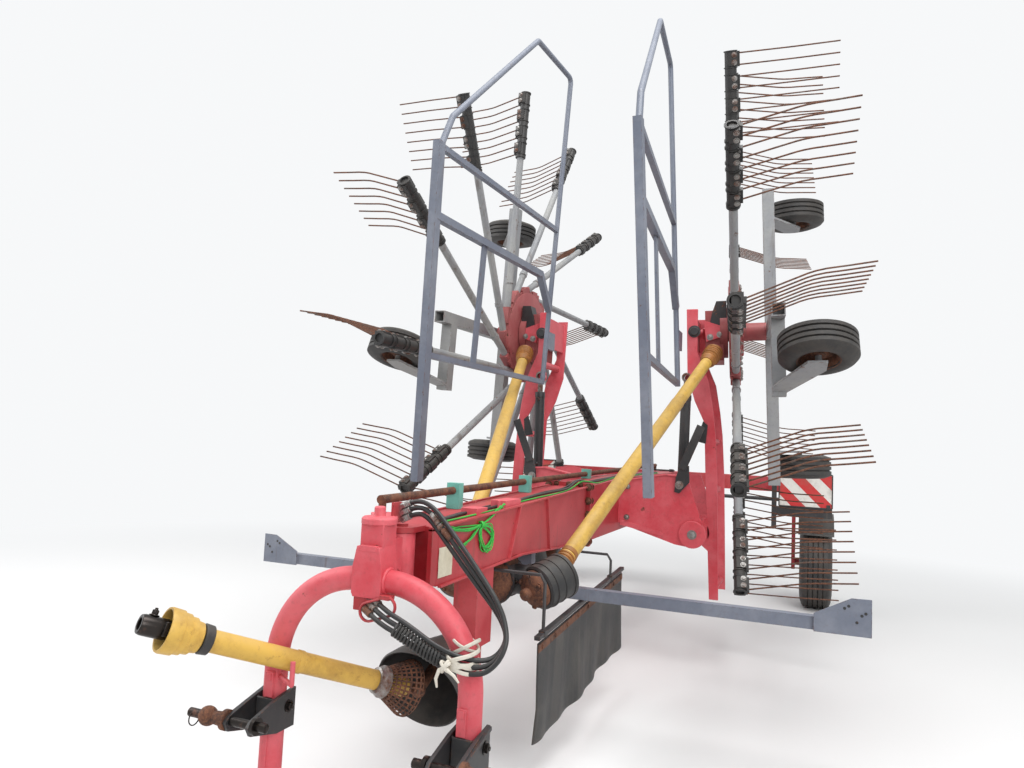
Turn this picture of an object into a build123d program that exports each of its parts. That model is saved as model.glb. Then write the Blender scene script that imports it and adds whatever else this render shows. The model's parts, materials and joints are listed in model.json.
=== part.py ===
from build123d import *
import math
import os

# Twin-rotor rotary rake, folded for the road, parked on its hitch legs, its jack and its rear wheels.
# Millimetres. X is right as seen from the front, +Y is rearwards, +Z is up, the floor is at Z = 0.
# All Y values below are measured from the hitch legs. FRAME_SHIFT_Y then moves the whole machine so that
# the origin is on the floor under the middle of its outer box.

# Overall
FRAME_SHIFT_Y = -2616.5

# Hitch arch
LEG_X = 346.0
LEG_TUBE_R = 37.0
ARCH_TOP_Z = 885.0
ARCH_BEND_R = 296.0
FOOT_SIZE = 130.0
FOOT_THICK = 12.0

# Headstock pivot at the nose of the beam
PIVOT_Y = 150.0
PIVOT_PIN_R = 22.0
PIVOT_FIT = 0.05
PIVOT_SLEEVE_R = 48.0
PIVOT_SLEEVE_LOW_Z = 850.0
PIVOT_SLEEVE_TOP_Z = 1020.0
NOSE_PLATE = 18.0
NOSE_GAP = 0.5
POST_SIZE = 80.0
POST_TOP_Z = 1080.0
COLLAR_SIZE = 104.0
COLLAR_HEIGHT = 22.0
POST_BOLT_R = 20.0
POST_BOLT_TOP_Z = 1112.0

# Saddle that carries the post on the arch
SADDLE_HALF_X = 52.0
SADDLE_R = 48.0
SADDLE_SHOULDER_Z = 930.0
SADDLE_TOP_Z = 992.0

# Hydraulic hoses: from couplings on the post, round a loose loop, past the right leg and through a ring
HOSE_R = 7.5
HOSE_PLATE_X = 16.0
HOSE_PLATE = 8.0
HOSE_COUPLING = 30.0
HOSE_COUPLING_R = 10.0
HOSE_RING = (130.0, 62.0)
HOSE_RING_AT = (50.0, -55.0, 812.0)
HOSE_RING_TURN = 19.0
HOSE_RING_BAR = 6.0
# X, Y, Z of the middle hose, and the step to the hose on the outside of the loop
HOSE_ROUTE = (
    (40.0, 84.0, 1090.0, 0.0, 0.0, 21.0),
    (88.0, 82.0, 1115.0, -3.0, 0.0, 20.0),
    (144.0, 75.0, 1102.0, 7.0, -2.0, 19.0),
    (212.0, 60.0, 1040.0, 14.0, -4.0, 15.0),
    (328.0, 38.0, 926.0, 14.0, -6.0, 13.0),
    (413.0, 22.0, 842.0, 12.0, -13.0, 9.0),
    (450.0, 2.0, 781.0, 8.0, -18.0, 3.0),
    (450.0, -16.0, 743.0, 8.0, -18.0, -2.0),
    (431.0, -34.0, 709.0, 6.0, -16.0, -8.0),
    (397.0, -50.0, 690.0, 3.0, -10.0, -16.0),
    (331.0, -60.0, 692.0, -2.0, 0.0, -20.0),
    (242.0, -66.0, 720.0, -7.0, 0.0, -19.0),
    (150.0, -72.0, 770.0, -11.0, -2.0, -17.0),
    (78.0, -74.0, 797.0, -11.0, -5.0, -16.0),
    (15.0, -43.0, 821.0, -10.0, -8.0, -14.5),
)

# Lower link pins
LINK_Z = 440.0
LINK_FORWARD = 150.0
LINK_PLATE = 14.0
LINK_PIN_R = 14.0
LINK_BOSS_R = 32.0
LINK_BALL_R = 30.0
LINK_BALL_X = 475.0
LINK_PIN_END_X = 548.0

# Hook that carries the front drive shaft
HOOK_Z = 549.0
HOOK_AIM = (0.857, -0.515)
HOOK_REACH = 134.0
HOOK_BAR_R = 8.0

# Main beam
BEAM_HALF_W = 105.0
BEAM_FRONT_Y = 215.0
BEAM_JOINT_Y = 2000.0
BEAM_TOP_FRONT_Z = 1036.0
BEAM_TOP_JOINT_Z = 1104.0
BEAM_LOW_FRONT_Z = 842.0
BEAM_LOW_MID_Z = 861.0
BEAM_LOW_MID_Y = 940.0
BEAM_LOW_JOINT_Z = 804.0
FLANGE_PLATE = 20.0
FLANGE_OVER = 22.0
REAR_BEAM_END_Y = 4950.0
REAR_TOP_Z = 1133.0
REAR_LOW_Z = 880.0

# Parking jack under the beam
JACK_X = 62.0
JACK_Y = 620.0
JACK_SLEEVE_X = 95.0
JACK_SLEEVE_Y = 150.0
JACK_SLEEVE_LOW_Z = 560.0
JACK_LEG = 60.0
JACK_FOOT = 180.0
JACK_FOOT_THICK = 12.0

# Central gearbox and the guards of its two output shafts
GEARBOX_Y = 1010.0
GEARBOX_Z = 740.0
GEARBOX_R = 78.0
OUTPUT_X = 215.0
OUTPUT_Y = 1060.0
GUARD_R = 95.0

# Drive shafts to the rotors
SHAFT_R = 38.0
SHAFT_INNER_R = 28.0
SHAFT_CONE_R = 50.0
CROSS_R = 26.0
# far end of each shaft, given for the level rotor unit
ROTOR_INPUT = (638.0, 2937.0, 1988.0)

# Front drive shaft
FRONT_SHAFT_REAR = (-28.0, 384.0, 440.0)
FRONT_SHAFT_FRONT = (-430.0, -285.0, 716.0)
FRONT_SHAFT_R = 33.0
STUB_BORE_R = 17.5
STUB_BORE_LEN = 76.0

# Cross bar
BAR_Y = 1325.0
BAR_LOW_Z = 633.0
BAR_HEIGHT = 52.0
BAR_DEPTH = 50.0
BAR_END_X = 1485.0
BAR_PLATE_X = 1270.0
BAR_PLATE = 8.0

# Swath curtain
CURTAIN_X = 288.0
CURTAIN_FRONT = (730.0, 580.0)
CURTAIN_REAR = (2110.0, 660.0)
CURTAIN_DROP = 400.0
CURTAIN_THICK = 8.0
CURTAIN_RAIL = 30.0
CURTAIN_HANGER_Y = (800.0, 1850.0)

# Fold pivots, booms and rotors, given for the right side
FOLD_X = 575.0
FOLD_Z = 815.0
FOLD_PIN_R = 30.0
FOLD_BOSS_R = 82.0
BRACKET_FRONT_Y = 2740.0
BRACKET_REAR_Y = 3362.0
BRACKET_PLATE = 22.0
BOOM_FRONT_Y = 2900.0
BOOM_REAR_Y = 3330.0
BOOM_PLATE = 16.0
BOOM_HEAD_X = 466.0
BOOM_HEAD_Z = 2040.0
BOOM_TOP_Z = 2240.0
BOOM_NECK_Z = 1790.0
BOOM_LEVER_X = 690.0
BOOM_LEVER_Z = 400.0

HUB_Y = 3130.0
HUB_Z = 2132.0
HUB_COLUMN_R = 60.0
HUB_DRUM_R = 190.0
DISC_R = 312.0
DISC_X = 725.0
DISC_THICK = 26.0
ARM_X = 765.0
ARM_COUNT = 12
# direction of the first arm above the line to the front
ARM_PHASE = {"right": 5.3, "left": 0.3}
# each arm passes the hub's axis at this distance
ARM_OFFSET = 290.0
ARM_TUBE_R = 24.0
ARM_SLEEVE_R = 33.0
ARM_SLEEVE_START = 1255.0
ARM_END = 1735.0
TINE_COUNT = 8
TINE_FIRST = 1285.0
TINE_STEP = 62.0
TINE_WIRE = 9.0
TINE_KINK = (340.0, 125.0)
TINE_TIP = (595.0, 150.0)

# Rotor head: a block on a slanting pin at the boom's end. The rotor unit is written level, with its hub along X.
# Folded, it hangs turned: its front edge stands further out and its top leans in, by these angles.
ROTOR_TOE = 5.1
ROTOR_LEAN = 2.3
ROTOR_PIVOT_X = 600.0
HANG_PIN_R = 20.0
HANG_PIN_HALF = 90.0
HANG_EYE_R = 44.0
HANG_EYE_HALF = 38.0
HANG_STEM_R = 28.0
HANG_SIDE_GAP = 3.0
HANG_ROUND_GAP = 6.0
HEAD_X = (575.0, 690.0)
HEAD_HALF_Y = 140.0
HEAD_OVER_Z = 130.0
INPUT_NECK_R = 46.0
HOUSING_R = 170.0
HOUSING_GAP = 7.0

# Rotor carriage and its wheels
CARRIAGE_X = 1000.0
CARRIAGE_TUBE = 76.0
CARRIAGE_WALL = 6.0
CARRIAGE_Y = 3290.0
CARRIAGE_LOW_Z = 1110.0
CARRIAGE_TOP_Z = 3150.0
CARRIAGE_ARM_Y = 2330.0
ROTOR_WHEEL_R = 205.0
ROTOR_WHEEL_W = 165.0
ROTOR_RIM_R = 105.0
ROTOR_AXLE_R = 17.0
WHEEL_PLATE = 14.0
WHEEL_PLATE_GAP = 12.0
# name, Y, Z of the wheel centre, side of the wheel on which its plate lies, turn of the castor
ROTOR_WHEELS = (
    ("low", 3585.0, 1235.0, 1, 0.0),
    ("high", 3585.0, 3041.0, -1, 0.0),
    ("front", 2180.0, 1880.0, -1, -20.0),
)

# Guards on the booms: their plane leans in with Y and Z
GUARD_PLANE = (729.0, 0.066, 0.052)
GUARD_BOX = (60.0, 40.0)
GUARD_TUBE_R = 17.0
GUARD_FRONT_LOW = (1300.0, 1115.0)
GUARD_FRONT_TOP = (1190.0, 2820.0)
GUARD_REAR_Y = 2750.0
GUARD_PEAK = (2190.0, 3860.0)
GUARD_BACK_TOP_Z = 3880.0
GUARD_STAY_Y = 1760.0
# height, half size and rear end of each rail
GUARD_RAILS = ((1750.0, 15.0, 2750.0), (2450.0, 20.0, 2560.0), (2800.0, 15.0, 2750.0))

# Fold cylinders
CYL_LOW = (490.0, 2835.0, 1115.0)
CYL_HIGH_X = 500.0
CYL_HIGH_Z = 1800.0
CYL_R = 32.0
CYL_ROD_R = 18.0

# Rear axle
AXLE_Y = 5280.0
AXLE_BEAM_Z = 1065.0
AXLE_BEAM = 130.0
KING_X = 1190.0
KING_PIN_R = 24.0
WHEEL_X = 1300.0
WHEEL_R = 385.0
WHEEL_W = 265.0
RIM_R = 215.0
STUB_R = 30.0
FORK_PLATE = 30.0
MUDGUARD_RISE = 275.0

# Steering
STEER_ROD_R = 15.0
STEER_ROD_X = -78.0
STEER_ROD_FRONT_Z = 1120.0
STEER_ROD_REAR_Z = 1185.0
STEER_LEVER_Z = 1066.0
STEER_LEVER = 12.0
TIE_ROD_Y = 5070.0
TIE_ROD_R = 16.0
CRANK_X = 72.0
CRANK_Y = 4868.0
CRANK_SHAFT_R = 20.0
STEER_PIN_GAP = 1.2
ROD_GUIDE_Y = (700.0, 1500.0, 2600.0, 3900.0)

# Sign boards
SIGN_W = 423.0
SIGN_H = 282.0
SIGN_X = 1210.0
SIGN_Y = 4870.0
SIGN_Z = 1040.0

os.makedirs("parts", exist_ok=True)
nodes = {}


def put(name, shape):
    """Keep a finished piece, moved into the frame that it is written in."""
    nodes[name] = Pos(0, FRAME_SHIFT_Y, 0) * shape


def rod(start, end, radius):
    """A round bar between two points."""
    a = Vector(*start)
    run = Vector(*end) - a
    return Plane(origin=a, z_dir=run) * Cylinder(radius, run.length, align=(Align.CENTER, Align.CENTER, Align.MIN))


def box_bar(start, end, width, depth, across=(1, 0, 0)):
    """A square bar between two points: width lies along the vector across."""
    a = Vector(*start)
    run = Vector(*end) - a
    side = Vector(*across)
    side = side - run * (side.dot(run) / run.dot(run))
    return Plane(origin=a, x_dir=side, z_dir=run) * Box(
        width, depth, run.length, align=(Align.CENTER, Align.CENTER, Align.MIN))


def span(x0, x1, y0, y1, z0, z1):
    """A block between two corners."""
    return Pos((x0 + x1) / 2, (y0 + y1) / 2, (z0 + z1) / 2) * Box(abs(x1 - x0), abs(y1 - y0), abs(z1 - z0))


def plate_xz(points, y0, y1):
    """A plate cut to an outline in X and Z, from y0 to y1."""
    face = make_face(Polyline(*[(x, z) for x, z in points], close=True))
    return Plane(origin=(0, y0, 0), x_dir=(1, 0, 0), z_dir=(0, -1, 0)) * extrude(face, -(y1 - y0))


def plate_yz(points, x0, x1):
    """A plate cut to an outline in Y and Z, from x0 to x1."""
    face = make_face(Polyline(*[(y, z) for y, z in points], close=True))
    return Plane(origin=(x0, 0, 0), x_dir=(0, 1, 0), z_dir=(1, 0, 0)) * extrude(face, x1 - x0)


def plate_xy(points, z0, z1):
    """A plate cut to an outline in X and Y, from z0 to z1."""
    face = make_face(Polyline(*points, close=True))
    return Pos(0, 0, z0) * extrude(face, z1 - z0)


def bent_tube(points, bends, radius):
    """A round tube along straight runs joined by arcs."""
    path = FilletPolyline(*points, radius=bends)
    first = Vector(*points[0])
    start = Plane(origin=first, z_dir=Vector(*points[1]) - first)
    return sweep(start * Circle(radius), path=path)


def unit(vector):
    return vector * (1.0 / vector.length)


ROTOR_PIVOT = Vector(ROTOR_PIVOT_X, HUB_Y, HUB_Z)
HUB_OUT = unit(Vector(1, math.tan(math.radians(ROTOR_TOE)), math.tan(math.radians(ROTOR_LEAN))))
HANG_DIR = unit(Vector(0, HUB_OUT.Z, -HUB_OUT.Y))
HANG_AXIS = Axis(ROTOR_PIVOT, HANG_DIR)
HANG_TURN = -math.degrees(math.acos(HUB_OUT.X))


def hung(shape):
    """A piece of the rotor unit, turned from level to the way it hangs while folded."""
    return shape.rotate(HANG_AXIS, HANG_TURN)


def on_hang_pin(radius, half):
    """A round piece on the slanting pin."""
    return rod(tuple(ROTOR_PIVOT - HANG_DIR * half), tuple(ROTOR_PIVOT + HANG_DIR * half), radius)


def hung_point(point):
    """Where a point of the level rotor unit lies while folded."""
    return ROTOR_PIVOT + (Vector(*point) - ROTOR_PIVOT).rotate(HANG_AXIS, HANG_TURN)


def both_sides(name, maker):
    """The right piece as made, the left one mirrored."""
    shape = maker("right")
    put(name + "_right", shape)
    put(name + "_left", mirror(maker("left"), about=Plane.YZ))


# Headstock: arch, pivot head, link pins

def arch():
    legs = bent_tube(
        [(-LEG_X, 0, FOOT_THICK), (-LEG_X, 0, ARCH_TOP_Z), (LEG_X, 0, ARCH_TOP_Z), (LEG_X, 0, FOOT_THICK)],
        ARCH_BEND_R, LEG_TUBE_R)
    shape = legs
    for side in (-1, 1):
        shape += span(side * LEG_X - FOOT_SIZE / 2, side * LEG_X + FOOT_SIZE / 2,
                      -FOOT_SIZE / 2, FOOT_SIZE / 2, 0, FOOT_THICK)
    leg = Vector(-LEG_X, 0, 0)
    out = Vector(HOOK_AIM[0], HOOK_AIM[1], 0)
    low = Vector(0, 0, HOOK_Z)
    hook = rod(tuple(leg + low + out * (LEG_TUBE_R - 4)), tuple(leg + low + out * HOOK_REACH), HOOK_BAR_R)
    hook += rod(tuple(leg + low + out * HOOK_REACH), tuple(leg + low + out * HOOK_REACH + Vector(0, 0, 70)), HOOK_BAR_R)
    return shape + hook


def hose_points(step):
    """The route of one hose: step 0 is the middle one, 1 the one outside it, -1 the one inside."""
    return [(x + step * dx, y + step * dy, z + step * dz) for x, y, z, dx, dy, dz in HOSE_ROUTE]


def hose_coupling(outer, inner):
    """A round coupling on the end of a hose: outer is the hose's end, inner the next point of its route."""
    end = Vector(*outer)
    away = unit(end - Vector(*inner))
    return rod(outer, tuple(end + away * HOSE_COUPLING), HOSE_COUPLING_R)


def hose_fittings():
    """A plate with three couplings behind the post, and a ring and a block with three more under the saddle."""
    shape = span(HOSE_PLATE_X, HOSE_PLATE_X + HOSE_PLATE, POST_SIZE / 2, 104, STEER_LEVER_Z - 10, 1122)
    shape += span(-44, 2, -42, -14, 798, 846)
    for step in (-1, 0, 1):
        route = hose_points(step)
        shape += hose_coupling(route[0], route[1])
        shape += hose_coupling(route[-1], route[-2])
    wide, high = HOSE_RING
    ring = SlotOverall(wide, high) - SlotOverall(wide - 2 * HOSE_RING_BAR, high - 2 * HOSE_RING_BAR)
    ring = extrude(ring, HOSE_RING_BAR, both=True)
    shape += Pos(*HOSE_RING_AT) * Rot(0, -HOSE_RING_TURN, 0) * Rot(90, 0, 0) * ring
    x, y, z = HOSE_RING_AT
    shape += span(x + 6, x + 40, y - HOSE_RING_BAR, y + 29, z + 30, z + 42)
    return shape


def king_head():
    low = ARCH_TOP_Z - 10
    saddle = rod((-SADDLE_HALF_X, 0, ARCH_TOP_Z), (SADDLE_HALF_X, 0, ARCH_TOP_Z), SADDLE_R)
    saddle += plate_xz([(-SADDLE_HALF_X, ARCH_TOP_Z), (SADDLE_HALF_X, ARCH_TOP_Z), (SADDLE_HALF_X, SADDLE_SHOULDER_Z),
                        (POST_SIZE / 2, SADDLE_TOP_Z), (-POST_SIZE / 2, SADDLE_TOP_Z),
                        (-SADDLE_HALF_X, SADDLE_SHOULDER_Z)], -SADDLE_R, SADDLE_R)
    saddle -= rod((-SADDLE_HALF_X - 5, 0, ARCH_TOP_Z), (SADDLE_HALF_X + 5, 0, ARCH_TOP_Z), LEG_TUBE_R + 0.3)
    post = span(-POST_SIZE / 2, POST_SIZE / 2, -POST_SIZE / 2 + 10, POST_SIZE / 2 + 10,
                ARCH_TOP_Z + LEG_TUBE_R + 5, POST_TOP_Z)
    collar = span(-COLLAR_SIZE / 2, COLLAR_SIZE / 2, -COLLAR_SIZE / 2 + 10, COLLAR_SIZE / 2 + 10,
                  POST_TOP_Z - 60, POST_TOP_Z - 60 + COLLAR_HEIGHT)
    bolt = rod((0, 10, POST_TOP_Z), (0, 10, POST_BOLT_TOP_Z), POST_BOLT_R)
    web = span(-30, 30, 30, PIVOT_Y, ARCH_TOP_Z + LEG_TUBE_R + 5, PIVOT_SLEEVE_TOP_Z - 8)
    sleeve = rod((0, PIVOT_Y, PIVOT_SLEEVE_LOW_Z), (0, PIVOT_Y, PIVOT_SLEEVE_TOP_Z), PIVOT_SLEEVE_R)
    hole = rod((0, PIVOT_Y, low - 60), (0, PIVOT_Y, PIVOT_SLEEVE_TOP_Z + 20), PIVOT_PIN_R + PIVOT_FIT)
    lever = plate_xy([(-POST_SIZE / 2, 40), (POST_SIZE / 2, 40), (POST_SIZE / 2, 55), (STEER_ROD_X + 24, PIVOT_Y + 24),
                      (STEER_ROD_X - 24, PIVOT_Y + 24), (STEER_ROD_X - 24, PIVOT_Y - 30)],
                     STEER_LEVER_Z, STEER_LEVER_Z + STEER_LEVER)
    return saddle + post + collar + bolt + web + sleeve + lever + hose_fittings() - hole


def hose(step):
    points = hose_points(step)
    spots = [Vector(*point) for point in points]
    radii = []
    for before, here, after in zip(spots, spots[1:], spots[2:]):
        run_in = here - before
        run_out = after - here
        shorter = min(run_in.length, run_out.length)
        radii.append(0.45 * shorter / math.tan(math.radians(run_in.get_angle(run_out) / 2)))
    tube = bent_tube(points, radii, HOSE_R)
    print("hose", step, "radii", [round(r) for r in radii], "volume over section times length",
          round(tube.volume / (math.pi * HOSE_R ** 2 * FilletPolyline(*points, radius=radii).length), 4))
    return tube


def link_pin():
    """Shank, ball and tip of the right link pin, turned in one outline about X."""
    shank = LEG_X + 10
    neck = math.sqrt(LINK_BALL_R ** 2 - LINK_PIN_R ** 2)
    edge = Polyline((LINK_BALL_X - neck, LINK_PIN_R), (shank, LINK_PIN_R), (shank, 0), (LINK_PIN_END_X, 0),
                    (LINK_PIN_END_X, LINK_PIN_R), (LINK_BALL_X + neck, LINK_PIN_R))
    ball = ThreePointArc((LINK_BALL_X - neck, LINK_PIN_R), (LINK_BALL_X, LINK_BALL_R), (LINK_BALL_X + neck, LINK_PIN_R))
    return Pos(0, -LINK_FORWARD, LINK_Z) * revolve(make_face(edge + ball), Axis.X)


def link_brackets():
    clamp = span(LEG_X - 50, LEG_X + 50, -54, 54, LINK_Z - 60, LINK_Z + 62)
    clamp -= rod((LEG_X, 0, LINK_Z - 90), (LEG_X, 0, LINK_Z + 90), LEG_TUBE_R + 0.3)
    arm = span(LEG_X + 10, LEG_X + 10 + 2 * LINK_PLATE, -LINK_FORWARD, -50, LINK_Z - 34, LINK_Z + 34)
    boss = rod((LEG_X + 2, -LINK_FORWARD, LINK_Z), (LEG_X + 62, -LINK_FORWARD, LINK_Z), LINK_BOSS_R)
    right = clamp + arm + boss + link_pin()
    return right + mirror(right, about=Plane.YZ)


put("arch", arch())
put("king_head", king_head())
put("link_brackets", link_brackets())
put("hose_outer", hose(1))
put("hose_middle", hose(0))
put("hose_inner", hose(-1))

# Main beam with its nose, its flange and the rear beam


def main_beam():
    side = [
        (BEAM_FRONT_Y, BEAM_LOW_FRONT_Z), (BEAM_LOW_MID_Y, BEAM_LOW_MID_Z), (BEAM_JOINT_Y, BEAM_LOW_JOINT_Z),
        (BEAM_JOINT_Y, BEAM_TOP_JOINT_Z), (BEAM_FRONT_Y, BEAM_TOP_FRONT_Z),
    ]
    shape = plate_yz(side, -BEAM_HALF_W, BEAM_HALF_W)
    for low, high in ((PIVOT_SLEEVE_LOW_Z - NOSE_GAP - NOSE_PLATE, PIVOT_SLEEVE_LOW_Z - NOSE_GAP),
                      (PIVOT_SLEEVE_TOP_Z + NOSE_GAP, PIVOT_SLEEVE_TOP_Z + NOSE_GAP + NOSE_PLATE)):
        shape += span(-52, 52, PIVOT_Y, BEAM_FRONT_Y + 10, low, high)
        shape += rod((0, PIVOT_Y, low), (0, PIVOT_Y, high), 52)
    shape += rod((0, PIVOT_Y, PIVOT_SLEEVE_LOW_Z - 26), (0, PIVOT_Y, PIVOT_SLEEVE_TOP_Z + 28), PIVOT_PIN_R)
    shape += span(-BEAM_HALF_W - FLANGE_OVER, BEAM_HALF_W + FLANGE_OVER, BEAM_JOINT_Y - FLANGE_PLATE, BEAM_JOINT_Y,
                  BEAM_LOW_JOINT_Z - FLANGE_OVER, BEAM_TOP_JOINT_Z + FLANGE_OVER)
    return shape


def rear_beam():
    side = [
        (BEAM_JOINT_Y, BEAM_LOW_JOINT_Z), (BRACKET_REAR_Y + 200, BEAM_LOW_JOINT_Z), (BRACKET_REAR_Y + 600, REAR_LOW_Z),
        (REAR_BEAM_END_Y, REAR_LOW_Z + 60), (REAR_BEAM_END_Y, REAR_TOP_Z), (2850, REAR_TOP_Z),
        (BEAM_JOINT_Y, BEAM_TOP_JOINT_Z),
    ]
    shape = plate_yz(side, -BEAM_HALF_W, BEAM_HALF_W)
    shape += span(-BEAM_HALF_W - FLANGE_OVER, BEAM_HALF_W + FLANGE_OVER, BEAM_JOINT_Y, BEAM_JOINT_Y + FLANGE_PLATE,
                  BEAM_LOW_JOINT_Z - FLANGE_OVER, BEAM_TOP_JOINT_Z + FLANGE_OVER)
    shape -= rod((CRANK_X, CRANK_Y, 800), (CRANK_X, CRANK_Y, REAR_TOP_Z + 60), CRANK_SHAFT_R + PIVOT_FIT)
    return shape


BRACKET_OUTLINE = ((BEAM_HALF_W, 1120), (400, 1175), (535, 1165), (560, 1090), (640, 860), (575, 733),
                   (470, 745), (BEAM_HALF_W, 850))


def boom_brackets():
    shape = None
    for side in (-1, 1):
        outline = [(side * x, z) for x, z in BRACKET_OUTLINE]
        if side < 0:
            outline.reverse()
        one = None
        for y in (BRACKET_FRONT_Y, BRACKET_REAR_Y):
            plate = plate_xz(outline, y, y + BRACKET_PLATE)
            plate += rod((side * FOLD_X, y, FOLD_Z), (side * FOLD_X, y + BRACKET_PLATE, FOLD_Z), FOLD_BOSS_R)
            one = plate if one is None else one + plate
        one += rod((side * FOLD_X, BRACKET_FRONT_Y - 14, FOLD_Z),
                   (side * FOLD_X, BRACKET_REAR_Y + BRACKET_PLATE + 14, FOLD_Z), FOLD_PIN_R)
        one += rod((side * CYL_LOW[0], BRACKET_FRONT_Y - 10, CYL_LOW[2]),
                   (side * CYL_LOW[0], CYL_LOW[1] + 40, CYL_LOW[2]), 16)
        shape = one if shape is None else shape + one
    return shape


put("main_beam", main_beam())
put("rear_beam", rear_beam())
put("boom_brackets", boom_brackets())

# Parking jack


def jack():
    top = BEAM_LOW_FRONT_Z + (BEAM_LOW_MID_Z - BEAM_LOW_FRONT_Z) * (JACK_Y - JACK_SLEEVE_Y / 2 - BEAM_FRONT_Y) / (
        BEAM_LOW_MID_Y - BEAM_FRONT_Y)
    sleeve = span(JACK_X - JACK_SLEEVE_X / 2, JACK_X + JACK_SLEEVE_X / 2, JACK_Y - JACK_SLEEVE_Y / 2, JACK_Y + JACK_SLEEVE_Y / 2,
                  JACK_SLEEVE_LOW_Z, top)
    leg = span(JACK_X - JACK_LEG / 2, JACK_X + JACK_LEG / 2, JACK_Y - JACK_LEG / 2, JACK_Y + JACK_LEG / 2, 0, JACK_SLEEVE_LOW_Z)
    foot = span(JACK_X - JACK_FOOT / 2, JACK_X + JACK_FOOT / 2, JACK_Y - JACK_FOOT / 2, JACK_Y + JACK_FOOT / 2, 0, JACK_FOOT_THICK)
    return sleeve + leg + foot


put("jack", jack())

# Central gearbox, hung under the beam, with its two output guards


def beam_low_z(y):
    run = (y - BEAM_FRONT_Y) / (BEAM_LOW_MID_Y - BEAM_FRONT_Y)
    if y > BEAM_LOW_MID_Y:
        run = (y - BEAM_LOW_MID_Y) / (BEAM_JOINT_Y - BEAM_LOW_MID_Y)
        return BEAM_LOW_MID_Z + (BEAM_LOW_JOINT_Z - BEAM_LOW_MID_Z) * run
    return BEAM_LOW_FRONT_Z + (BEAM_LOW_MID_Z - BEAM_LOW_FRONT_Z) * run


OUTPUT = Vector(OUTPUT_X, OUTPUT_Y, GEARBOX_Z)
SHAFT_DIR = unit(hung_point(ROTOR_INPUT) - OUTPUT)
LOWERED_INPUT = Vector(FOLD_X + ROTOR_INPUT[2] - FOLD_Z, ROTOR_INPUT[1], FOLD_Z + FOLD_X - ROTOR_INPUT[0])
GUARD_AIM = unit(SHAFT_DIR + unit(LOWERED_INPUT - OUTPUT))


def gearbox():
    shape = rod((0, GEARBOX_Y - 90, GEARBOX_Z), (0, GEARBOX_Y + 110, GEARBOX_Z), GEARBOX_R)
    ends = (GEARBOX_Y - 60, GEARBOX_Y + 80)
    hanger = [(ends[0], GEARBOX_Z), (ends[1], GEARBOX_Z), (ends[1], beam_low_z(ends[1])), (ends[0], beam_low_z(ends[0]))]
    shape += plate_yz(hanger, -60, 60)
    arm_end = OUTPUT_X - 70
    shape += rod((-arm_end, OUTPUT_Y, GEARBOX_Z), (arm_end, OUTPUT_Y, GEARBOX_Z), 52)
    stub_end = OUTPUT_X - CROSS_R - 0.3
    shape += rod((-stub_end, OUTPUT_Y, GEARBOX_Z), (stub_end, OUTPUT_Y, GEARBOX_Z), 15)
    shape += rod(FRONT_SHAFT_REAR, (0, GEARBOX_Y - 80, GEARBOX_Z - 10), 20)
    shape += Pos(*FRONT_SHAFT_REAR) * Sphere(CROSS_R)
    return shape


def gearbox_guard():
    shape = None
    for side in (-1, 1):
        way = Vector(side * GUARD_AIM.X, GUARD_AIM.Y, GUARD_AIM.Z)
        centre = Vector(side * OUTPUT_X, OUTPUT_Y, GEARBOX_Z)
        cup = rod(tuple(centre - way * 70), tuple(centre + way * 85), GUARD_R)
        cup -= rod(tuple(centre - way * 60), tuple(centre + way * 200), GUARD_R - 5)
        cup -= rod((0, OUTPUT_Y, GEARBOX_Z), (side * (OUTPUT_X - 70), OUTPUT_Y, GEARBOX_Z), 52)
        shape = cup if shape is None else shape + cup
    return shape


put("gearbox", gearbox())
put("gearbox_guard", gearbox_guard())

# Cross bar with its end plates


def cross_bar():
    shape = span(-BAR_PLATE_X - 60, BAR_PLATE_X + 60, BAR_Y - BAR_DEPTH / 2, BAR_Y + BAR_DEPTH / 2,
                 BAR_LOW_Z, BAR_LOW_Z + BAR_HEIGHT)
    for side in (-1, 1):
        outline = [(side * BAR_PLATE_X, BAR_LOW_Z), (side * BAR_END_X, BAR_LOW_Z), (side * BAR_END_X, BAR_LOW_Z + 98),
                   (side * (BAR_END_X - 70), BAR_LOW_Z + 98), (side * BAR_PLATE_X, BAR_LOW_Z + BAR_HEIGHT)]
        if side < 0:
            outline.reverse()
        shape += plate_xz(outline, BAR_Y - BAR_DEPTH / 2 - BAR_PLATE, BAR_Y - BAR_DEPTH / 2)
    hanger = beam_low_z(BAR_Y + 30)
    shape += span(-45, 45, BAR_Y - 22, BAR_Y + 30, BAR_LOW_Z + BAR_HEIGHT, hanger)
    return shape


put("cross_bar", cross_bar())

# Swath curtain on its rail


def rail_z(y):
    run = (y - CURTAIN_FRONT[0]) / (CURTAIN_REAR[0] - CURTAIN_FRONT[0])
    return CURTAIN_FRONT[1] + (CURTAIN_REAR[1] - CURTAIN_FRONT[1]) * run


def curtain_rail():
    shape = box_bar((CURTAIN_X, *CURTAIN_FRONT), (CURTAIN_X, *CURTAIN_REAR), CURTAIN_RAIL, CURTAIN_RAIL)
    for y in CURTAIN_HANGER_Y:
        beam_low = min(beam_low_z(y - 18), beam_low_z(y + 18))
        low = beam_low - 60
        shape += span(-10, CURTAIN_X + 15, y - 18, y + 18, low, low + 36)
        shape += span(-10, 60, y - 18, y + 18, low + 30, beam_low)
        shape += span(CURTAIN_X - 15, CURTAIN_X + 15, y - 18, y + 18, rail_z(y), low + 10)
    return shape


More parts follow.
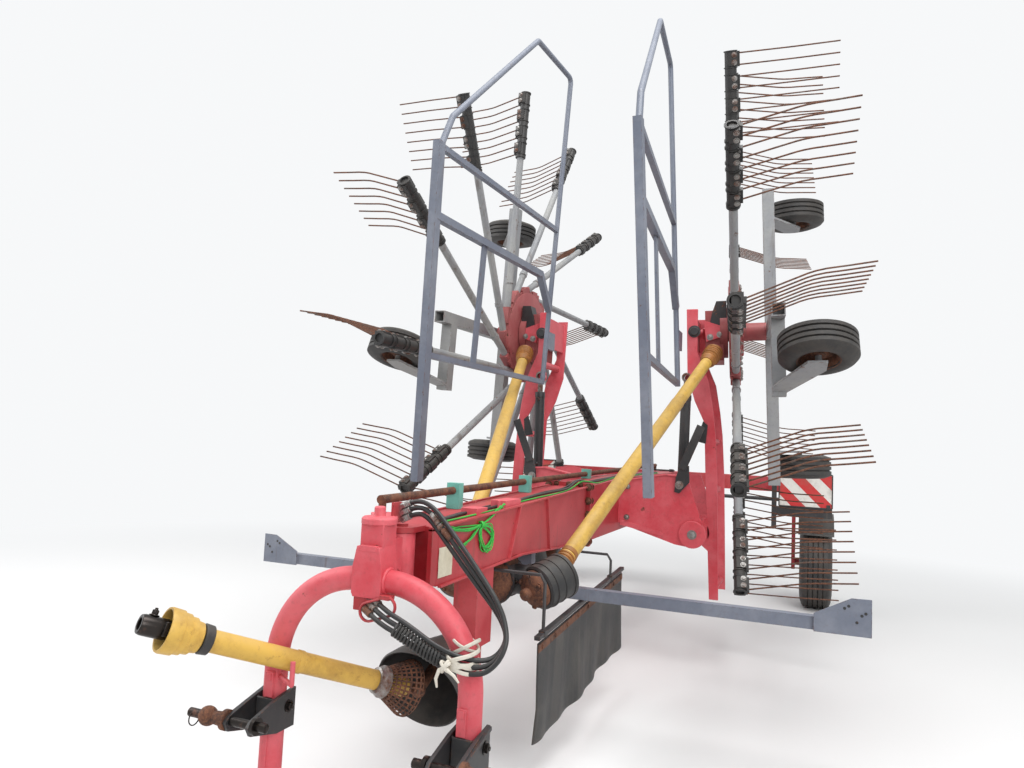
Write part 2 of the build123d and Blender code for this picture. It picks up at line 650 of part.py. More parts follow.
def curtain():
    half = CURTAIN_RAIL / 2 + 0.3
    front, rear = CURTAIN_FRONT[0] + 10, CURTAIN_REAR[0] - 10
    outline = [(front, rail_z(front) - half - CURTAIN_DROP), (rear, rail_z(rear) - half - CURTAIN_DROP),
               (rear, rail_z(rear) - half), (front, rail_z(front) - half)]
    return plate_yz(outline, CURTAIN_X - CURTAIN_THICK / 2, CURTAIN_X + CURTAIN_THICK / 2)


put("curtain_rail", curtain_rail())
put("curtain", curtain())

# Booms


def boom(side):
    lean = (FOLD_X - BOOM_HEAD_X) / (BOOM_HEAD_Z - FOLD_Z)
    top_x = FOLD_X - lean * (BOOM_TOP_Z - FOLD_Z)
    outline = [(BOOM_LEVER_X - 32, BOOM_LEVER_Z), (BOOM_LEVER_X + 32, BOOM_LEVER_Z), (FOLD_X + 85, FOLD_Z),
               (top_x + 100, BOOM_NECK_Z), (top_x + 36, BOOM_NECK_Z + 70), (top_x + 36, BOOM_TOP_Z),
               (top_x - 62, BOOM_TOP_Z), (FOLD_X - 85, FOLD_Z)]
    shape = plate_xz(outline, BOOM_FRONT_Y, BOOM_FRONT_Y + BOOM_PLATE)
    shape += plate_xz(outline, BOOM_REAR_Y - BOOM_PLATE, BOOM_REAR_Y)
    web = [(FOLD_X - 20, FOLD_Z + 150), (FOLD_X + 60, FOLD_Z + 150), (top_x + 30, BOOM_TOP_Z - 60),
           (top_x - 20, BOOM_TOP_Z - 60)]
    shape += plate_xz(web, BOOM_FRONT_Y + BOOM_PLATE - 1, BOOM_REAR_Y - BOOM_PLATE + 1)
    shape += rod((FOLD_X, BRACKET_FRONT_Y + BRACKET_PLATE + 6, FOLD_Z), (FOLD_X, BRACKET_REAR_Y - 6, FOLD_Z), 62)
    shape += rod((CYL_HIGH_X, CYL_LOW[1] + 20.3, CYL_HIGH_Z), (CYL_HIGH_X, BOOM_FRONT_Y + 2, CYL_HIGH_Z), 18)
    shape += rod((top_x, HUB_Y, HUB_Z), (ROTOR_PIVOT_X, HUB_Y, HUB_Z), HANG_STEM_R)
    shape += on_hang_pin(HANG_EYE_R, HANG_EYE_HALF)
    shape -= on_hang_pin(HANG_PIN_R + PIVOT_FIT, HANG_PIN_HALF)
    shape -= rod((FOLD_X, BRACKET_FRONT_Y - 60, FOLD_Z), (FOLD_X, BRACKET_REAR_Y + 90, FOLD_Z), FOLD_PIN_R + PIVOT_FIT)
    return shape


def rotor_head(side):
    input_x, input_y, input_z = ROTOR_INPUT
    front = HUB_Y - HEAD_HALF_Y
    shape = span(HEAD_X[0], HEAD_X[1], front, HUB_Y + HEAD_HALF_Y, input_z - INPUT_NECK_R - 12, HUB_Z + HEAD_OVER_Z)
    shape += rod((input_x, front + 20, input_z), (input_x, input_y + 30, input_z), INPUT_NECK_R)
    shape += rod((HEAD_X[1] - 20, HUB_Y, HUB_Z), (DISC_X - HOUSING_GAP, HUB_Y, HUB_Z), HOUSING_R)
    shape += rod((HEAD_X[1] - 20, HUB_Y, HUB_Z), (CARRIAGE_X - CARRIAGE_TUBE / 2, HUB_Y, HUB_Z), HUB_COLUMN_R)
    slot_half = HANG_EYE_HALF + HANG_SIDE_GAP
    slot_r = HANG_EYE_R + HANG_ROUND_GAP
    shape -= on_hang_pin(slot_r, slot_half)
    shape -= box_bar(tuple(ROTOR_PIVOT), tuple(ROTOR_PIVOT - Vector(2 * slot_r, 0, 0)), 2 * slot_half, 2 * slot_r, tuple(HANG_DIR))
    shape += on_hang_pin(HANG_PIN_R, HANG_PIN_HALF)
    return hung(shape)


WHEEL_X_LEVEL = FOLD_X + FOLD_Z - ROTOR_WHEEL_R


def castor_turned(shape, y, z, turn):
    """A wheel or its plate, turned on its castor about the wheel's centre."""
    return Pos(0, y, z) * Rot(turn, 0, 0) * Pos(0, -y, -z) * shape


def carriage(side):
    half = CARRIAGE_TUBE / 2
    near_x, far_x = CARRIAGE_X - half, CARRIAGE_X + half
    shape = span(near_x, far_x, CARRIAGE_Y - half, CARRIAGE_Y + half, CARRIAGE_LOW_Z, CARRIAGE_TOP_Z)
    shape += span(near_x, far_x, CARRIAGE_ARM_Y, CARRIAGE_Y, HUB_Z - half, HUB_Z + half)
    shape -= span(near_x + CARRIAGE_WALL, far_x - CARRIAGE_WALL, CARRIAGE_ARM_Y - 1, CARRIAGE_ARM_Y + 90,
                  HUB_Z - half + CARRIAGE_WALL, HUB_Z + half - CARRIAGE_WALL)
    for name, y, z, sense, turn in ROTOR_WHEELS:
        near = z + sense * (ROTOR_WHEEL_W / 2 + WHEEL_PLATE_GAP)
        far = near + sense * WHEEL_PLATE
        base = y + ROTOR_WHEEL_R + 45 if name == "front" else CARRIAGE_Y - half
        away = -1 if name == "front" else 1
        root = (base, base + CARRIAGE_TUBE)
        outline = [(near_x, root[0]), (far_x, root[0]), (WHEEL_X_LEVEL + 40, y - 50), (WHEEL_X_LEVEL + 40, y + 50),
                   (WHEEL_X_LEVEL - 60, y + 50), (near_x, root[1])]
        if away < 0:
            outline = [(WHEEL_X_LEVEL - 60, y - 50), (WHEEL_X_LEVEL + 40, y - 50), (WHEEL_X_LEVEL + 40, y + 50),
                       (far_x, root[1]), (near_x, root[1]), (near_x, root[0])]
        plate = plate_xy(outline, min(near, far), max(near, far))
        plate += rod((WHEEL_X_LEVEL, y, far), (WHEEL_X_LEVEL, y, z - sense * 60), ROTOR_AXLE_R)
        shape += castor_turned(plate, y, z, turn)
        if name == "front":
            drop = (base + CARRIAGE_TUBE / 2 - y) * math.tan(math.radians(-turn))
            shape += span(near_x, far_x, root[0], root[1], far - drop - 20, HUB_Z)
    return hung(shape)


both_sides("boom", boom)
both_sides("rotor_head", rotor_head)
both_sides("carriage", carriage)


def guard_x(y, z):
    return GUARD_PLANE[0] - GUARD_PLANE[1] * y - GUARD_PLANE[2] * z


def guard_point(y, z):
    return (guard_x(y, z), y, z)


def guard(side):
    low = guard_point(*GUARD_FRONT_LOW)
    top = guard_point(*GUARD_FRONT_TOP)
    shape = box_bar(low, top, GUARD_BOX[1], GUARD_BOX[0])
    loop = [guard_point(GUARD_FRONT_TOP[0] + 6, GUARD_FRONT_TOP[1] - 40), guard_point(1290, 2990),
            guard_point(*GUARD_PEAK), guard_point(GUARD_REAR_Y + 10, GUARD_BACK_TOP_Z),
            guard_point(GUARD_REAR_Y, GUARD_RAILS[0][0] - GUARD_RAILS[0][1])]
    shape += bent_tube(loop, 40, GUARD_TUBE_R)
    for z, half, end_y in GUARD_RAILS:
        front_y = GUARD_FRONT_LOW[0] + (GUARD_FRONT_TOP[0] - GUARD_FRONT_LOW[0]) * (z - GUARD_FRONT_LOW[1]) / (
            GUARD_FRONT_TOP[1] - GUARD_FRONT_LOW[1])
        shape += box_bar(guard_point(front_y, z), guard_point(end_y, z), 2 * half, 2 * half)
    low_z, middle_z = GUARD_RAILS[0][0], GUARD_RAILS[1][0]
    shape += box_bar(guard_point(GUARD_STAY_Y, low_z), guard_point(GUARD_STAY_Y, middle_z), 12, 55)
    middle_end = GUARD_RAILS[1][2]
    shape += box_bar(guard_point(middle_end - 10, middle_z), guard_point(GUARD_REAR_Y, middle_z - 210), 40, 40)
    foot = guard_point(GUARD_REAR_Y, 2040)
    shape += box_bar(foot, (foot[0], BOOM_FRONT_Y, 2040), 24, 120)
    return shape


both_sides("guard", guard)

# Rotors


def on_arm(reach, angle, x):
    """A point along an arm, counted from where the arm passes the hub's axis."""
    a = math.radians(angle)
    forward = reach * math.cos(a) + ARM_OFFSET * math.sin(a)
    upward = reach * math.sin(a) - ARM_OFFSET * math.cos(a)
    return (x, HUB_Y - forward, HUB_Z + upward)


def arm_angles(side):
    return [ARM_PHASE[side] + k * 360.0 / ARM_COUNT for k in range(ARM_COUNT)]


def rotor_hub(side):
    shape = rod((DISC_X, HUB_Y, HUB_Z), (DISC_X + DISC_THICK, HUB_Y, HUB_Z), DISC_R)
    shape += rod((DISC_X, HUB_Y, HUB_Z), (ARM_X + 40, HUB_Y, HUB_Z), HUB_DRUM_R)
    for angle in arm_angles(side):
        shape += rod(on_arm(-20, angle, ARM_X), on_arm(ARM_SLEEVE_START, angle, ARM_X), ARM_TUBE_R)
    shape -= rod((DISC_X - 60, HUB_Y, HUB_Z), (ARM_X + 90, HUB_Y, HUB_Z), HUB_COLUMN_R + PIVOT_FIT)
    return hung(shape)


def tine(reach, angle):
    w = TINE_WIRE / 2
    kx, ky = TINE_KINK
    tx, ty = TINE_TIP
    base = ARM_SLEEVE_R - 8
    points = [(base, -w), (kx, ky - w), (tx, ty - w), (tx, ty + w), (kx, ky + w), (base, w)]
    face = make_face(Polyline(*points, close=True))
    bar = extrude(face, TINE_WIRE / 2, both=True)
    a = math.radians(angle)
    place = Plane(origin=on_arm(reach, angle, ARM_X), x_dir=(1, 0, 0), z_dir=(0, -math.cos(a), math.sin(a)))
    return place * bar


def rotor_tines(side):
    arms = []
    for angle in arm_angles(side):
        sleeve = rod(on_arm(ARM_SLEEVE_START, angle, ARM_X), on_arm(ARM_END, angle, ARM_X), ARM_SLEEVE_R)
        wires = [tine(TINE_FIRST + j * TINE_STEP, angle) for j in range(TINE_COUNT)]
        arms.append(hung(sleeve.fuse(*wires)))
    return Compound(children=arms)


both_sides("rotor_hub", rotor_hub)
both_sides("rotor_tines", rotor_tines)


def rotor_wheel(y, z, turn):
    half = ROTOR_WHEEL_W / 2
    profile = Polyline((ROTOR_AXLE_R + 0.05, -45), (60, -45), (60, -12), (ROTOR_RIM_R, -12), (ROTOR_RIM_R, -half + 10),
                       (ROTOR_RIM_R + 20, -half), (ROTOR_WHEEL_R - 25, -half), (ROTOR_WHEEL_R, -half + 30),
                       (ROTOR_WHEEL_R, half - 30), (ROTOR_WHEEL_R - 25, half), (ROTOR_RIM_R + 20, half),
                       (ROTOR_RIM_R, half - 10), (ROTOR_RIM_R, 12), (60, 12), (60, 45), (ROTOR_AXLE_R + 0.05, 45),
                       close=True)
    face = make_face(Plane.XZ * profile)
    wheel = Pos(WHEEL_X_LEVEL, y, z) * revolve(face, Axis.Z)
    return hung(castor_turned(wheel, y, z, turn))


for wheel_name, wheel_y, wheel_z, sense, turn in ROTOR_WHEELS:
    wheel = rotor_wheel(wheel_y, wheel_z, turn)
    put("rotor_wheel_" + wheel_name + "_right", wheel)
    put("rotor_wheel_" + wheel_name + "_left", mirror(wheel, about=Plane.YZ))

# Drive shafts to the rotors: joint cross, outer tube, inner tube


def drive_point(t):
    return tuple(OUTPUT + SHAFT_DIR * t)


SHAFT_LENGTH = (hung_point(ROTOR_INPUT) - OUTPUT).length


def drive_cross(side):
    return Pos(*OUTPUT) * Sphere(CROSS_R)


def drive_outer(side):
    shape = rod(drive_point(CROSS_R + 0.3), drive_point(70), 22)
    shape += rod(drive_point(60), drive_point(200), SHAFT_CONE_R)
    shape += rod(drive_point(180), drive_point(SHAFT_LENGTH * 0.55), SHAFT_R)
    shape -= rod(drive_point(150), drive_point(SHAFT_LENGTH), SHAFT_INNER_R + 0.5)
    return shape


def drive_inner(side):
    shape = rod(drive_point(380), drive_point(SHAFT_LENGTH - 150), SHAFT_INNER_R)
    shape += rod(drive_point(SHAFT_LENGTH * 0.55 + 200), drive_point(SHAFT_LENGTH - 160), SHAFT_R)
    shape += rod(drive_point(SHAFT_LENGTH - 170), drive_point(SHAFT_LENGTH - 12), SHAFT_CONE_R)
    return shape


both_sides("drive_cross", drive_cross)
both_sides("drive_outer", drive_outer)
both_sides("drive_inner", drive_inner)

# Front drive shaft, laid on its hook


FRONT_REAR = Vector(*FRONT_SHAFT_REAR)
FRONT_DIR = unit(Vector(*FRONT_SHAFT_FRONT) - FRONT_REAR)
FRONT_LENGTH = (Vector(*FRONT_SHAFT_FRONT) - FRONT_REAR).length


def front_point(t):
    return tuple(FRONT_REAR + FRONT_DIR * t)


def front_shaft():
    shape = rod(front_point(CROSS_R + 0.3), front_point(FRONT_LENGTH), FRONT_SHAFT_R)
    shape += rod(front_point(FRONT_LENGTH - 20), front_point(FRONT_LENGTH + 90), 62)
    shape += rod(front_point(FRONT_LENGTH + 80), front_point(FRONT_LENGTH + 160), 30)
    shape -= rod(front_point(FRONT_LENGTH + 160 - STUB_BORE_LEN), front_point(FRONT_LENGTH + 200), STUB_BORE_R)
    return shape


def front_cone():
    shape = rod(front_point(14), front_point(70), 68)
    shape -= rod(front_point(-90), front_point(CROSS_R), 56)
    shape -= rod(front_point(0), front_point(100), FRONT_SHAFT_R)
    return shape


put("front_shaft", front_shaft())
put("front_cone", front_cone())

# Fold cylinders


def cyl_point(t):
    run = unit(Vector(CYL_HIGH_X, CYL_LOW[1], CYL_HIGH_Z) - Vector(*CYL_LOW))
    return tuple(Vector(*CYL_LOW) + run * t)


CYL_LENGTH = (Vector(CYL_HIGH_X, CYL_LOW[1], CYL_HIGH_Z) - Vector(*CYL_LOW)).length


def cylinder_barrel(side):
    shape = rod((CYL_LOW[0], CYL_LOW[1] - 22, CYL_LOW[2]), (CYL_LOW[0], CYL_LOW[1] + 22, CYL_LOW[2]), 34)
    shape += rod(cyl_point(20), cyl_point(CYL_LENGTH - 110), CYL_R)
    shape -= rod((CYL_LOW[0], CYL_LOW[1] - 60, CYL_LOW[2]), (CYL_LOW[0], CYL_LOW[1] + 60, CYL_LOW[2]), 16.05)
    shape -= rod(cyl_point(60), cyl_point(CYL_LENGTH), CYL_ROD_R + 0.05)
    return shape


def cylinder_rod(side):
    shape = rod(cyl_point(120), cyl_point(CYL_LENGTH - 20), CYL_ROD_R)
    shape += rod((CYL_HIGH_X, CYL_LOW[1] - 20, CYL_HIGH_Z), (CYL_HIGH_X, CYL_LOW[1] + 20, CYL_HIGH_Z), 30)
    return shape


both_sides("cylinder_barrel", cylinder_barrel)
both_sides("cylinder_rod", cylinder_rod)

# Rear axle, knuckles and wheels


def axle_beam():
    half = AXLE_BEAM / 2
    shape = span(-KING_X + 40, KING_X - 40, AXLE_Y - half, AXLE_Y + half, AXLE_BEAM_Z - half, AXLE_BEAM_Z + half)
    shape += span(-BEAM_HALF_W, BEAM_HALF_W, REAR_BEAM_END_Y, AXLE_Y, AXLE_BEAM_Z - 90, AXLE_BEAM_Z + half)
    for side in (-1, 1):
        shape += rod((side * KING_X, AXLE_Y, AXLE_BEAM_Z - half - 20), (side * KING_X, AXLE_Y, AXLE_BEAM_Z + half + 6), 48)
        shape -= rod((side * KING_X, AXLE_Y, AXLE_BEAM_Z - 200), (side * KING_X, AXLE_Y, AXLE_BEAM_Z + 200),
                     KING_PIN_R + PIVOT_FIT)
    return shape


def knuckle(side):
    top = AXLE_BEAM_Z - AXLE_BEAM / 2 - 20 - 0.5
    inner_x = WHEEL_X - WHEEL_W / 2 - 40
    shape = span(inner_x - FORK_PLATE, KING_X + 50, AXLE_Y - 60, AXLE_Y + 60, top - 24, top)
    shape += span(inner_x - FORK_PLATE, inner_x, AXLE_Y - 60, AXLE_Y + 60, WHEEL_R - 60, top)
    shape += rod((KING_X, AXLE_Y, top - 10), (KING_X, AXLE_Y, AXLE_BEAM_Z + AXLE_BEAM / 2 + 20), KING_PIN_R)
    shape += rod((inner_x - FORK_PLATE, AXLE_Y, WHEEL_R), (WHEEL_X + 40, AXLE_Y, WHEEL_R), STUB_R)
    shape += span(inner_x - FORK_PLATE, inner_x + 10, TIE_ROD_Y - 25, AXLE_Y - 50, top - 24, top)
    return shape


def mudguard(side):
    top = AXLE_BEAM_Z - AXLE_BEAM / 2 - 20 - 0.5 - 24 - 0.3
    inner = WHEEL_R + 55
    ring = rod((WHEEL_X - WHEEL_W / 2 - 10, AXLE_Y, WHEEL_R), (WHEEL_X + WHEEL_W / 2 + 10, AXLE_Y, WHEEL_R), inner + 5)
    ring -= rod((WHEEL_X - WHEEL_W, AXLE_Y, WHEEL_R), (WHEEL_X + WHEEL_W, AXLE_Y, WHEEL_R), inner)
    ring &= span(WHEEL_X - WHEEL_W, WHEEL_X + WHEEL_W, AXLE_Y - 420, AXLE_Y + 420, WHEEL_R + MUDGUARD_RISE, top)
    inner_x = WHEEL_X - WHEEL_W / 2 - 40
    ring += span(inner_x, WHEEL_X - WHEEL_W / 2 + 30, AXLE_Y - 40, AXLE_Y + 40, WHEEL_R + inner - 9, WHEEL_R + inner + 3)
    return ring


put("axle_beam", axle_beam())
both_sides("knuckle", knuckle)
both_sides("mudguard", mudguard)


def tyre(side):
    half = WHEEL_W / 2
    profile = Polyline((RIM_R, -half + 20), (RIM_R + 40, -half), (WHEEL_R - 40, -half), (WHEEL_R, -half + 40),
                       (WHEEL_R, half - 40), (WHEEL_R - 40, half), (RIM_R + 40, half), (RIM_R, half - 20), close=True)
    ring = revolve(make_face(Plane.XZ * profile), Axis.Z)
    return Pos(WHEEL_X, AXLE_Y, WHEEL_R) * Rot(0, 90, 0) * ring


def rim(side):
    half = WHEEL_W / 2
    profile = Polyline((STUB_R + 0.05, -60), (80, -60), (80, 10), (RIM_R - 12, 10), (RIM_R - 12, -half + 22),
                       (RIM_R, -half + 22), (RIM_R, half - 22), (RIM_R - 12, half - 22), (RIM_R - 12, 26), (80, 26),
                       (80, 60), (STUB_R + 0.05, 60), close=True)
    ring = revolve(make_face(Plane.XZ * profile), Axis.Z)
    return Pos(WHEEL_X, AXLE_Y, WHEEL_R) * Rot(0, 90, 0) * ring


both_sides("tyre", tyre)
both_sides("rim", rim)

# Steering rod along the beam, crank and tie rod


STEER_FRONT_Y = PIVOT_Y - 14


def steer_rod_z(y):
    return STEER_ROD_FRONT_Z + (STEER_ROD_REAR_Z - STEER_ROD_FRONT_Z) * (y - STEER_FRONT_Y) / (CRANK_Y + 14 - STEER_FRONT_Y)


def steer_line(radius):
    return rod((STEER_ROD_X, STEER_FRONT_Y, STEER_ROD_FRONT_Z), (STEER_ROD_X, CRANK_Y + 14, STEER_ROD_REAR_Z), radius)


def steering_rod():
    shape = steer_line(STEER_ROD_R)
    shape += rod((STEER_ROD_X, PIVOT_Y, STEER_LEVER_Z + STEER_LEVER + STEER_PIN_GAP),
                 (STEER_ROD_X, PIVOT_Y, STEER_ROD_FRONT_Z), 13)
    shape += rod((STEER_ROD_X, CRANK_Y, REAR_TOP_Z + 18 + STEER_PIN_GAP), (STEER_ROD_X, CRANK_Y, STEER_ROD_REAR_Z), 13)
    return shape


def beam_top_z(y):
    if y > 2850:
        return REAR_TOP_Z
    if y > BEAM_JOINT_Y:
        return BEAM_TOP_JOINT_Z + (REAR_TOP_Z - BEAM_TOP_JOINT_Z) * (y - BEAM_JOINT_Y) / (2850 - BEAM_JOINT_Y)
    return BEAM_TOP_FRONT_Z + (BEAM_TOP_JOINT_Z - BEAM_TOP_FRONT_Z) * (y - BEAM_FRONT_Y) / (BEAM_JOINT_Y - BEAM_FRONT_Y)


def rod_guides():
    shape = None
    for y in ROD_GUIDE_Y:
        block = span(STEER_ROD_X - 27, STEER_ROD_X + 28, y - 20, y + 20, beam_top_z(y + 20), steer_rod_z(y) + 30)
        block -= steer_line(STEER_ROD_R + 0.05)
        shape = block if shape is None else shape + block
    return shape


def steer_crank():
    shape = rod((CRANK_X, CRANK_Y, 896), (CRANK_X, CRANK_Y, REAR_TOP_Z + 24), CRANK_SHAFT_R)
    shape += span(STEER_ROD_X - 20, CRANK_X + 26, CRANK_Y - 22, CRANK_Y + 22, REAR_TOP_Z + 4, REAR_TOP_Z + 18)
    shape += span(CRANK_X - 22, CRANK_X + 22, CRANK_Y - 26, TIE_ROD_Y + 20, 906, TIE_ROD_Z - TIE_ROD_R - 0.3)
    return shape


TIE_ROD_Z = AXLE_BEAM_Z - AXLE_BEAM / 2 - 20.5 - 24 - 0.3 - TIE_ROD_R
TIE_ROD_END_X = WHEEL_X - WHEEL_W / 2 - 55


def tie_rod():
    shape = rod((-TIE_ROD_END_X, TIE_ROD_Y, TIE_ROD_Z), (TIE_ROD_END_X, TIE_ROD_Y, TIE_ROD_Z), TIE_ROD_R)
    for side in (-1, 1):
        end = side * TIE_ROD_END_X
        shape += rod((end, TIE_ROD_Y, TIE_ROD_Z - 24), (end, TIE_ROD_Y, TIE_ROD_Z + TIE_ROD_R), 22)
    return shape


put("steering_rod", steering_rod())
put("rod_guides", rod_guides())
put("steer_crank", steer_crank())
put("tie_rod", tie_rod())

# Sign boards


def sign_boards():
    shape = None
    for side in (-1, 1):
        board = span(side * (SIGN_X - SIGN_W / 2), side * (SIGN_X + SIGN_W / 2), SIGN_Y, SIGN_Y + 4,
                     SIGN_Z - SIGN_H / 2, SIGN_Z + SIGN_H / 2)
        arm = span(side * (SIGN_X - 120), side * (SIGN_X - 80), SIGN_Y + 4, AXLE_Y - AXLE_BEAM / 2, SIGN_Z, SIGN_Z + 40)
        one = board + arm
        shape = one if shape is None else shape + one
    return shape


put("sign_boards", sign_boards())

for name, shape in nodes.items():
    export_step(shape, "parts/" + name + ".step")
print(len(nodes), "pieces written")
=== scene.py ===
# %% [markdown]
# # A twin-rotor hay rake, folded for the road
# The rake stands parked: two rotors fold up beside a long red beam, each behind a tube guard.
# The solids come from the frame, in metres. This file gives them their paint, rust, rubber and small parts.
# Pieces that turn or swing are placed from the frame's joints, and the rest from places on a drawing.

# %% Load the frame
import json
import math
import random

import bmesh
import bpy
from mathutils import Matrix, Vector


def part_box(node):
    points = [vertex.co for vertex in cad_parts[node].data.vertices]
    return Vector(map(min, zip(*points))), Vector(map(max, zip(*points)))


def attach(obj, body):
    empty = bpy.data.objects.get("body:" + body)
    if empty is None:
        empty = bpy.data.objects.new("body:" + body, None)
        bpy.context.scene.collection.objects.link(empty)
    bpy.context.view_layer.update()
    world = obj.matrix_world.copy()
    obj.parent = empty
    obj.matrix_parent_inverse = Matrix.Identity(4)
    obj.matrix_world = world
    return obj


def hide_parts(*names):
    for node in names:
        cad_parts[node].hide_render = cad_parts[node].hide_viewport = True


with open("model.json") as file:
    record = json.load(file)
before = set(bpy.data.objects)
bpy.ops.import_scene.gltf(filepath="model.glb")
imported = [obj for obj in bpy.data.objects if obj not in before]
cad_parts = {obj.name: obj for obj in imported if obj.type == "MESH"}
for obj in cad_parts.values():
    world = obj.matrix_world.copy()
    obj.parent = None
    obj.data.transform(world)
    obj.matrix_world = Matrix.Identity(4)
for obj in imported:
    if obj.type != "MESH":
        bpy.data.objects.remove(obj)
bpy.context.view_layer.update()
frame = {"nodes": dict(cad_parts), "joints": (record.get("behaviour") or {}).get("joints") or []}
NODES = frame["nodes"]
JOINTS = {joint["name"]: joint for joint in frame["joints"]}
SIDES = ("right", "left")
X, Y, Z = (Vector(way) for way in ((1, 0, 0), (0, 1, 0), (0, 0, 1)))


def rounded(values, digits=3):
    return [round(value, digits) for value in values]


# %% [markdown]
# Lengths along the machine are easiest to read when they count from the two hitch legs, as on a drawing.
# The jack stands 0.62 m behind them, so its box tells where the legs are. Heights count from the floor.

# %% Places counted from the hitch legs
JACK_BEHIND_LEGS = 0.62
JACK_LOW, JACK_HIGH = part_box("jack")
HITCH_Y = (JACK_LOW.y + JACK_HIGH.y) / 2 - JACK_BEHIND_LEGS


def at(x, y, z):
    """A place in metres: x to the right, y behind the hitch legs, z above the floor."""
    return Vector((x, y + HITCH_Y, z))


def joint_place(name):
    return Vector(JOINTS[name]["pos_m"])


def joint_axis(name):
    return Vector(JOINTS[name]["axis"]).normalized()


def new_object(name, data):
    obj = bpy.data.objects.new(name, data)
    bpy.context.scene.collection.objects.link(obj)
    return obj


print("hitch legs at y", round(HITCH_Y, 4))

# %% [markdown]
# The camera stands where the photographer stood: to the right of the hitch, at head height, looking back
# along the beam and a little up. Its turn, tilt and roll were fitted to mirrored pairs of points, and its
# wide lens gives the strong perspective of a phone. A matrix made from its three directions holds all of it.

# %% Camera
CAMERA_AT = at(1.254, -2.050, 1.330)
CAMERA_TURN = math.radians(21.92)
CAMERA_TILT = math.radians(4.46)
CAMERA_ROLL = math.radians(2.71)
SENSOR_MM = 36.0
FOCAL_SHARE = 750 / 1024
CLIP_END = 200.0

forward = Vector((
    -math.sin(CAMERA_TURN) * math.cos(CAMERA_TILT),
    math.cos(CAMERA_TURN) * math.cos(CAMERA_TILT),
    math.sin(CAMERA_TILT),
))
level_right = Vector((math.cos(CAMERA_TURN), math.sin(CAMERA_TURN), 0.0))
level_up = level_right.cross(forward)
camera_right = level_right * math.cos(CAMERA_ROLL) + level_up * math.sin(CAMERA_ROLL)
camera_up = level_up * math.cos(CAMERA_ROLL) - level_right * math.sin(CAMERA_ROLL)
camera_data = bpy.data.cameras.new("camera")
camera_data.sensor_fit = "HORIZONTAL"
camera_data.sensor_width = SENSOR_MM
camera_data.lens = SENSOR_MM * FOCAL_SHARE
camera_data.clip_end = CLIP_END
camera = new_object("camera", camera_data)
rotation = Matrix((camera_right, camera_up, -forward)).transposed()
camera.matrix_world = Matrix.Translation(CAMERA_AT) @ rotation.to_4x4()
bpy.context.scene.camera = camera
print("camera lens", round(camera_data.lens, 2), "mm")

# %% [markdown]
# Shader trees are built with a few short tools. Each adds one node, joins or sets its inputs, and gives
# back the socket that the next one takes. The same tools serve materials, the world and node groups.

# %% Tools for shader trees
def colour(red, green, blue):
    """A screen colour of 0 to 255, as the linear values that a shader takes."""
    linear = []
    for value in (red, green, blue):
        share = value / 255
        linear.append(share / 12.92 if share <= 0.04045 else ((share + 0.055) / 1.055) ** 2.4)
    return (*linear, 1.0)


def feed(tree, source, target):
    """Join a socket to an input, or set the input when the source is a plain value."""
    if isinstance(source, bpy.types.NodeSocket):
        tree.links.new(source, target)
    else:
        target.default_value = source


def add(tree, kind, inputs=None, **settings):
    """One node; inputs pairs the name or number of a socket with what goes into it."""
    node = tree.nodes.new(kind)
    for key, value in settings.items():
        setattr(node, key, value)
    for key, source in (inputs or {}).items():
        feed(tree, source, node.inputs[key])
    return node


def math_node(tree, operation, first, second=0.0, clamp=False):
    node = add(tree, "ShaderNodeMath", {0: first, 1: second}, operation=operation, use_clamp=clamp)
    return node.outputs["Value"]


def times(tree, first, second, clamp=False):
    return math_node(tree, "MULTIPLY", first, second, clamp)


def plus(tree, first, second, clamp=False):
    return math_node(tree, "ADD", first, second, clamp)


def minus(tree, first, second):
    return math_node(tree, "SUBTRACT", first, second)


def mix_colour(tree, share, first, second):
    return add(tree, "ShaderNodeMix", {"Factor": share, 6: first, 7: second}, data_type="RGBA").outputs[2]


def mix_shader(tree, share, first, second):
    return add(tree, "ShaderNodeMixShader", {"Fac": share, 1: first, 2: second}).outputs["Shader"]


def step(tree, value, low, high):
    """0 below low, 1 above high, smooth between."""
    inputs = {"Value": value, "From Min": low, "From Max": high}
    return add(tree, "ShaderNodeMapRange", inputs, interpolation_type="SMOOTHSTEP").outputs["Result"]


def noise(tree, vector, scale, detail=4.0, roughness=0.6, distortion=0.0):
    inputs = {"Vector": vector, "Scale": scale, "Detail": detail, "Roughness": roughness, "Distortion": distortion}
    return add(tree, "ShaderNodeTexNoise", inputs).outputs["Fac"]


def object_place(tree):
    return add(tree, "ShaderNodeTexCoord").outputs["Object"]


def start_material(name):
    material = bpy.data.materials.new(name)
    material.use_nodes = True
    tree = material.node_tree
    return material, tree, tree.nodes["Principled BSDF"]


print("shader tools ready")

# %% [markdown]
# Soft studio light: a pale world gives an even fill like an overcast sky, and three large lamps add a
# gentle direction from above. The floor is a plain pale sheet that catches the shadows near the machine
# and fades into the background further out.

# %% Floor, world and lamps
FLOOR_HALF = 40.0
FLOOR_TONE = (0.70, 0.695, 0.69, 1.0)
FLOOR_ROUGHNESS = 0.9
FADE_NEAR, FADE_FAR = 3.6, 8.0
BACKGROUND = (0.93, 0.94, 0.95, 1.0)
FILL_TONE = (0.95, 0.98, 1.0, 1.0)
WORLD_FILL = 0.62
# Place, aim, size in metres and power in watts.
LAMPS = {
    "lamp_above": ((1.5, -2.0, 9.0), (0.0, 0.5, 1.2), 6.0, 640.0),
    "lamp_front": ((6.5, -8.0, 5.5), (0.0, -0.5, 1.5), 5.0, 420.0),
    "lamp_left": ((-8.0, -3.0, 6.0), (0.0, 0.5, 1.6), 5.0, 380.0),
}


